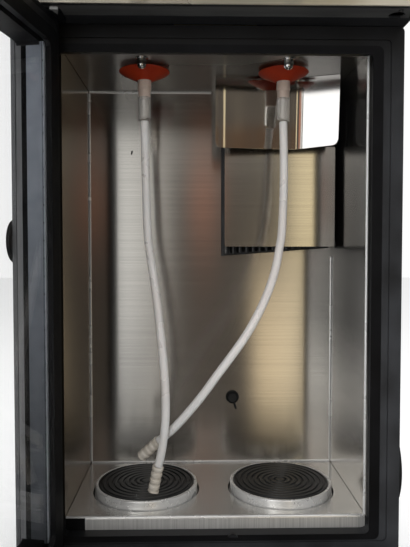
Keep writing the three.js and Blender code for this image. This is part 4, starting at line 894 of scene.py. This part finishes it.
for side, sign in SIDES:
    for part, inner, outer, y0, y1, look, slot in SPACER_STRIPS:
        x0, x1 = sorted((sign * inner, sign * outer))
        box = [(x0, y0), (x1, y0), (x1, y1), (x0, y1)]
        strip = prism(f"{part}_{side}", box, DOOR_LOW + SPACER_END, DOOR_HIGH - SPACER_END, "Z")
        on_door(f"{part}_{side}", strip, look)
    x0, x1 = sorted((sign * 98.38, sign * 98.6))
    on_door(f"spacer_holes_{side}", spacer_holes(f"spacer_holes_{side}", x0, x1), hollow_black)
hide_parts("door_frame")


# Small things on the cabinet

# The bright corner over the upper hinge
HINGE_CORNER = [(-97.6, -43.6), (-93.0, -43.2), (-94.6, -36.0)]
home_bar("hinge_corner", HINGE_CORNER, 407.2, 408.9, "Z", zinc)

# The black seat for the gasket, and the bend beside it, whose pale colour is a painted highlight
SEAT_OUT = rounded(-105.0, 81.6, 105.0, 397.2, 4)
SEAT_IN = rounded(-98.4, 85.4, 98.4, 391.9, 3)
home_bar("gasket_seat", SEAT_OUT, -17.14, -16.9, "Y", hollow_black, SEAT_IN)
HEM = arc(99.35, -3.2, 0.8, 0, 345, 23)
home_bar("liner_hem", HEM, DECK_TOP, 397.0, "Z", hem_steel_highlight)

# The small dark mark on the back wall, the catch under the bay, and a black block in the lip's left corner
# that is a painted reflection of the dark door
MARK = [(-65.9, 347.8), (-65.2, 347.4), (-64.4, 349.6), (-64.5, 351.0), (-65.6, 350.6)]
home_bar("wall_mark", MARK, 95.7, 95.95, "Y", hollow_black)
CATCH = arc(10.1, 83.8, 3.4, 20, 160, 8)
home_bar("frame_catch", CATCH, -19.4, -17.0, "Y", frame_plastic)
LIP_REFLECTION_BLOCK = [(-4.4, LIP_LOW), (SHEET_FRONT, LIP_LOW), (SHEET_FRONT, 91.3), (-4.4, 91.3)]
home_bar("lip_reflection_block", LIP_REFLECTION_BLOCK, -99.6, -86.9, "X", hollow_black)

# The round cap on the casing's right side, turned about the line across the cabinet
CAP_Y, CAP_Z = 34.0, 117
CAP_FRONT, CAP_FOOT = 126.2, 118.1
CAP = [(0, CAP_FRONT), (33.0, CAP_FRONT), *arc(33.0, 123.2, 3.0, 90, 0, 4), (36.0, CAP_FOOT), (0, CAP_FOOT)]
cap = add("side_cap_disc", turned("side_cap_disc", CAP, 96), rubber, "cabinet", ["side_cap"])
cap.matrix_world = Matrix.Translation(place(0, CAP_Y, CAP_Z)) @ Matrix.Rotation(math.radians(90), 4, "Y")


# Floor, light and the room that the steel reflects

low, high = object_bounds()
middle = (low + high) / 2
FLOOR_REACH = 6.0
FLOOR_Z = -0.0005
FLOOR_GLOW = 0.38
ROOM_LEVEL = 0.62
MIRROR_LEVEL = 0.03
# So large that any bounce off a dull surface outweighs all bounces off steel
DULL_WEIGHT = 20.0


def maths(tree, operation, first, second, clamp=False):
    """A maths node on an output and on a number or another output."""
    made = tree.nodes.new("ShaderNodeMath")
    made.operation = operation
    made.use_clamp = clamp
    tree.links.new(first, made.inputs[0])
    if isinstance(second, float):
        made.inputs[1].default_value = second
    else:
        tree.links.new(second, made.inputs[1])
    return made.outputs["Value"]


floor_mesh = bpy.data.meshes.new("floor")
corners = [(-1, -1), (1, -1), (1, 1), (-1, 1)]
floor_mesh.from_pydata([(x * FLOOR_REACH, y * FLOOR_REACH, FLOOR_Z) for x, y in corners], [], [(0, 1, 2, 3)])
floor = bpy.data.objects.new("floor", floor_mesh)
bpy.context.scene.collection.objects.link(floor)
floor_paint = surface("floor_paint", (0.82, 0.82, 0.82), (0.84, 0.84, 0.84), (0.8, 0.9), 0.0, 2)
floor_tree = floor_paint.node_tree
path = floor_tree.nodes.new("ShaderNodeLightPath")
seen = maths(floor_tree, "MAXIMUM", path.outputs["Is Camera Ray"], path.outputs["Is Transmission Ray"])
floor_shader = floor_tree.nodes["Principled BSDF"]
floor_shader.inputs["Emission Color"].default_value = (1, 1, 1, 1)
glow = spread(floor_tree, seen, 0.0, FLOOR_GLOW, 0.0, 1.0)
floor_tree.links.new(glow, floor_shader.inputs["Emission Strength"])
floor_mesh.materials.append(floor_paint)
floor.visible_glossy = False

# The world is white for the camera, also through glass, dim in mirrors, and at the room's level for the rest
world = bpy.data.worlds.new("world")
bpy.context.scene.world = world
world.use_nodes = True
tree = world.node_tree
background = tree.nodes["Background"]
path = tree.nodes.new("ShaderNodeLightPath")
mirrors, dull = path.outputs["Glossy Depth"], path.outputs["Diffuse Depth"]
only_mirrors = maths(tree, "SUBTRACT", mirrors, maths(tree, "MULTIPLY", dull, DULL_WEIGHT), clamp=True)
strength = tree.nodes.new("ShaderNodeMapRange")
strength.inputs["To Min"].default_value = 1.0
tree.links.new(maths(tree, "ADD", mirrors, dull, clamp=True), strength.inputs["Value"])
tree.links.new(spread(tree, only_mirrors, ROOM_LEVEL, MIRROR_LEVEL, 0.0, 1.0), strength.inputs["To Max"])
tree.links.new(strength.outputs["Result"], background.inputs["Strength"])
background.inputs["Color"].default_value = (1, 1, 1, 1)


def softbox(name, at, aim, width, height, power):
    """A soft lamp that shines from a place at another, in metres, and isn't seen itself."""
    light = bpy.data.lights.new(name, "AREA")
    light.shape = "RECTANGLE"
    light.size = width
    light.size_y = height
    light.energy = power
    obj = bpy.data.objects.new(name, light)
    bpy.context.scene.collection.objects.link(obj)
    obj.location = at
    obj.rotation_euler = (Vector(aim) - Vector(at)).to_track_quat("-Z", "Y").to_euler()
    obj.visible_camera = False
    return obj


front_light = softbox("softbox_front", middle + Vector((-0.5, -1.7, 0.5)), middle, 1.0, 1.2, 14)
front_light.visible_glossy = False
softbox("softbox_top", middle + Vector((0.1, -0.3, 1.7)), middle, 1.6, 1.6, 14)


# The room in front of the cabinet, which only mirrors see, in millimetres like the cabinet

DARK = (0.02, 0.018, 0.016)
DUSK = (0.1, 0.086, 0.072)
LAMP_EDGE = (0.3, 0.28, 0.25)
LAMP_GRAY = (0.6, 0.59, 0.56)


def room_card(name, depth, left, right, low, high, stops, round_edge=False, flat=False):
    """A glowing card with colours across it. It stands at a depth, or lies flat at that height.

    With round_edge it fades out towards the edge of an ellipse.
    """
    ends = [(left, low), (right, low), (right, high), (left, high)]
    corners = [place(u, v, depth) if flat else place(u, depth, v) for u, v in ends]
    mesh = bpy.data.meshes.new(name)
    mesh.from_pydata([tuple(c) for c in corners], [], [(0, 1, 2, 3)])
    material = bpy.data.materials.new(name)
    material.use_nodes = True
    tree = material.node_tree
    tree.nodes.clear()
    out = tree.nodes.new("ShaderNodeOutputMaterial")
    emission = tree.nodes.new("ShaderNodeEmission")
    where = tree.nodes.new("ShaderNodeTexCoord")
    split = tree.nodes.new("ShaderNodeSeparateXYZ")
    tree.links.new(where.outputs["Generated"], split.inputs["Vector"])
    scaled = [((x - left) / (right - left), colour) for x, colour in stops]
    colours = ramp(tree, split.outputs["X"], scaled)
    tree.links.new(colours.outputs["Color"], emission.inputs["Color"])
    glow = emission.outputs["Emission"]
    if round_edge:
        shift = tree.nodes.new("ShaderNodeMapping")
        shift.inputs["Location"].default_value = (-1, 0, -1)
        shift.inputs["Scale"].default_value = (2, 1, 2)
        tree.links.new(where.outputs["Generated"], shift.inputs["Vector"])
        ball = tree.nodes.new("ShaderNodeTexGradient")
        ball.gradient_type = "SPHERICAL"
        tree.links.new(shift.outputs["Vector"], ball.inputs["Vector"])
        clear = tree.nodes.new("ShaderNodeBsdfTransparent")
        mix = tree.nodes.new("ShaderNodeMixShader")
        tree.links.new(spread(tree, ball.outputs["Fac"], 0.0, 1.0, 0.0, 0.5), mix.inputs[0])
        tree.links.new(clear.outputs[0], mix.inputs[1])
        tree.links.new(glow, mix.inputs[2])
        glow = mix.outputs[0]
    tree.links.new(glow, out.inputs["Surface"])
    mesh.materials.append(material)
    card = bpy.data.objects.new(name, mesh)
    bpy.context.scene.collection.objects.link(card)
    card.visible_camera = False
    card.visible_diffuse = False
    card.visible_transmission = False
    card.visible_shadow = False


# Bright windows at the left, and a wide lamp above in two parts
room_card("room_windows", -1500, -1600, 1400, -500, 1500, [
    (-440, (1.6, 1.6, 1.6)), (-415, DARK), (-300, DARK), (-284, (1.2, 1.2, 1.16)), (-200, (0.85, 0.84, 0.8)),
    (-112, (0.42, 0.39, 0.35)), (-70, DUSK), (1000, DUSK)])
room_card("room_lamp", -1490, -460, 180, 640, 1200, [
    (-460, (0.95, 0.94, 0.92)), (-250, (0.85, 0.84, 0.8)), (0, (0.42, 0.4, 0.37)), (110, (0.36, 0.33, 0.3)),
    (180, LAMP_EDGE)])
room_card("room_lamp_right", -1490, 180, 900, 640, 1200, [
    (180, LAMP_EDGE), (330, (0.42, 0.41, 0.38)), (450, LAMP_GRAY), (900, LAMP_GRAY)])
# A pale table below the windows, and at the right a beige panel in two parts
room_card("room_table", -1490, -510, -334, -500, -150, [(-510, (0.6, 0.59, 0.57)), (-334, (0.5, 0.49, 0.47))])
room_card("room_panel", -700, 106, 234, -250, 205, [
    (106, (0.2, 0.17, 0.14)), (135, (1.25, 1.0, 0.64)), (200, (1.3, 1.07, 0.72)), (234, (0.9, 0.78, 0.55))])
room_card("room_panel_high", -1480, 305, 452, 215, 800, [
    (305, (0.2, 0.17, 0.14)), (335, (1.05, 0.88, 0.56)), (452, (1.3, 1.1, 0.7))])
# A dim warm wall, a warm round shape in front, and a bright bench at the cabinet's left foot
room_card("room_warm", -1490, 425, 760, 150, 372, [
    (425, (0.15, 0.08, 0.045)), (560, (0.11, 0.07, 0.045)), (760, DUSK)])
room_card("room_shape", -500, -45, 55, 270, 470, [
    (-45, (0.5, 0.2, 0.11)), (55, (0.54, 0.22, 0.13))], round_edge=True)
room_card("room_bench", -0.3, -420, -110, -930, -420, [
    (-420, (1.1, 1.1, 1.12)), (-230, (1.0, 1.0, 1.0)), (-110, (0.1, 0.1, 0.1))], flat=True)

bpy.context.scene.view_settings.view_transform = "Standard"
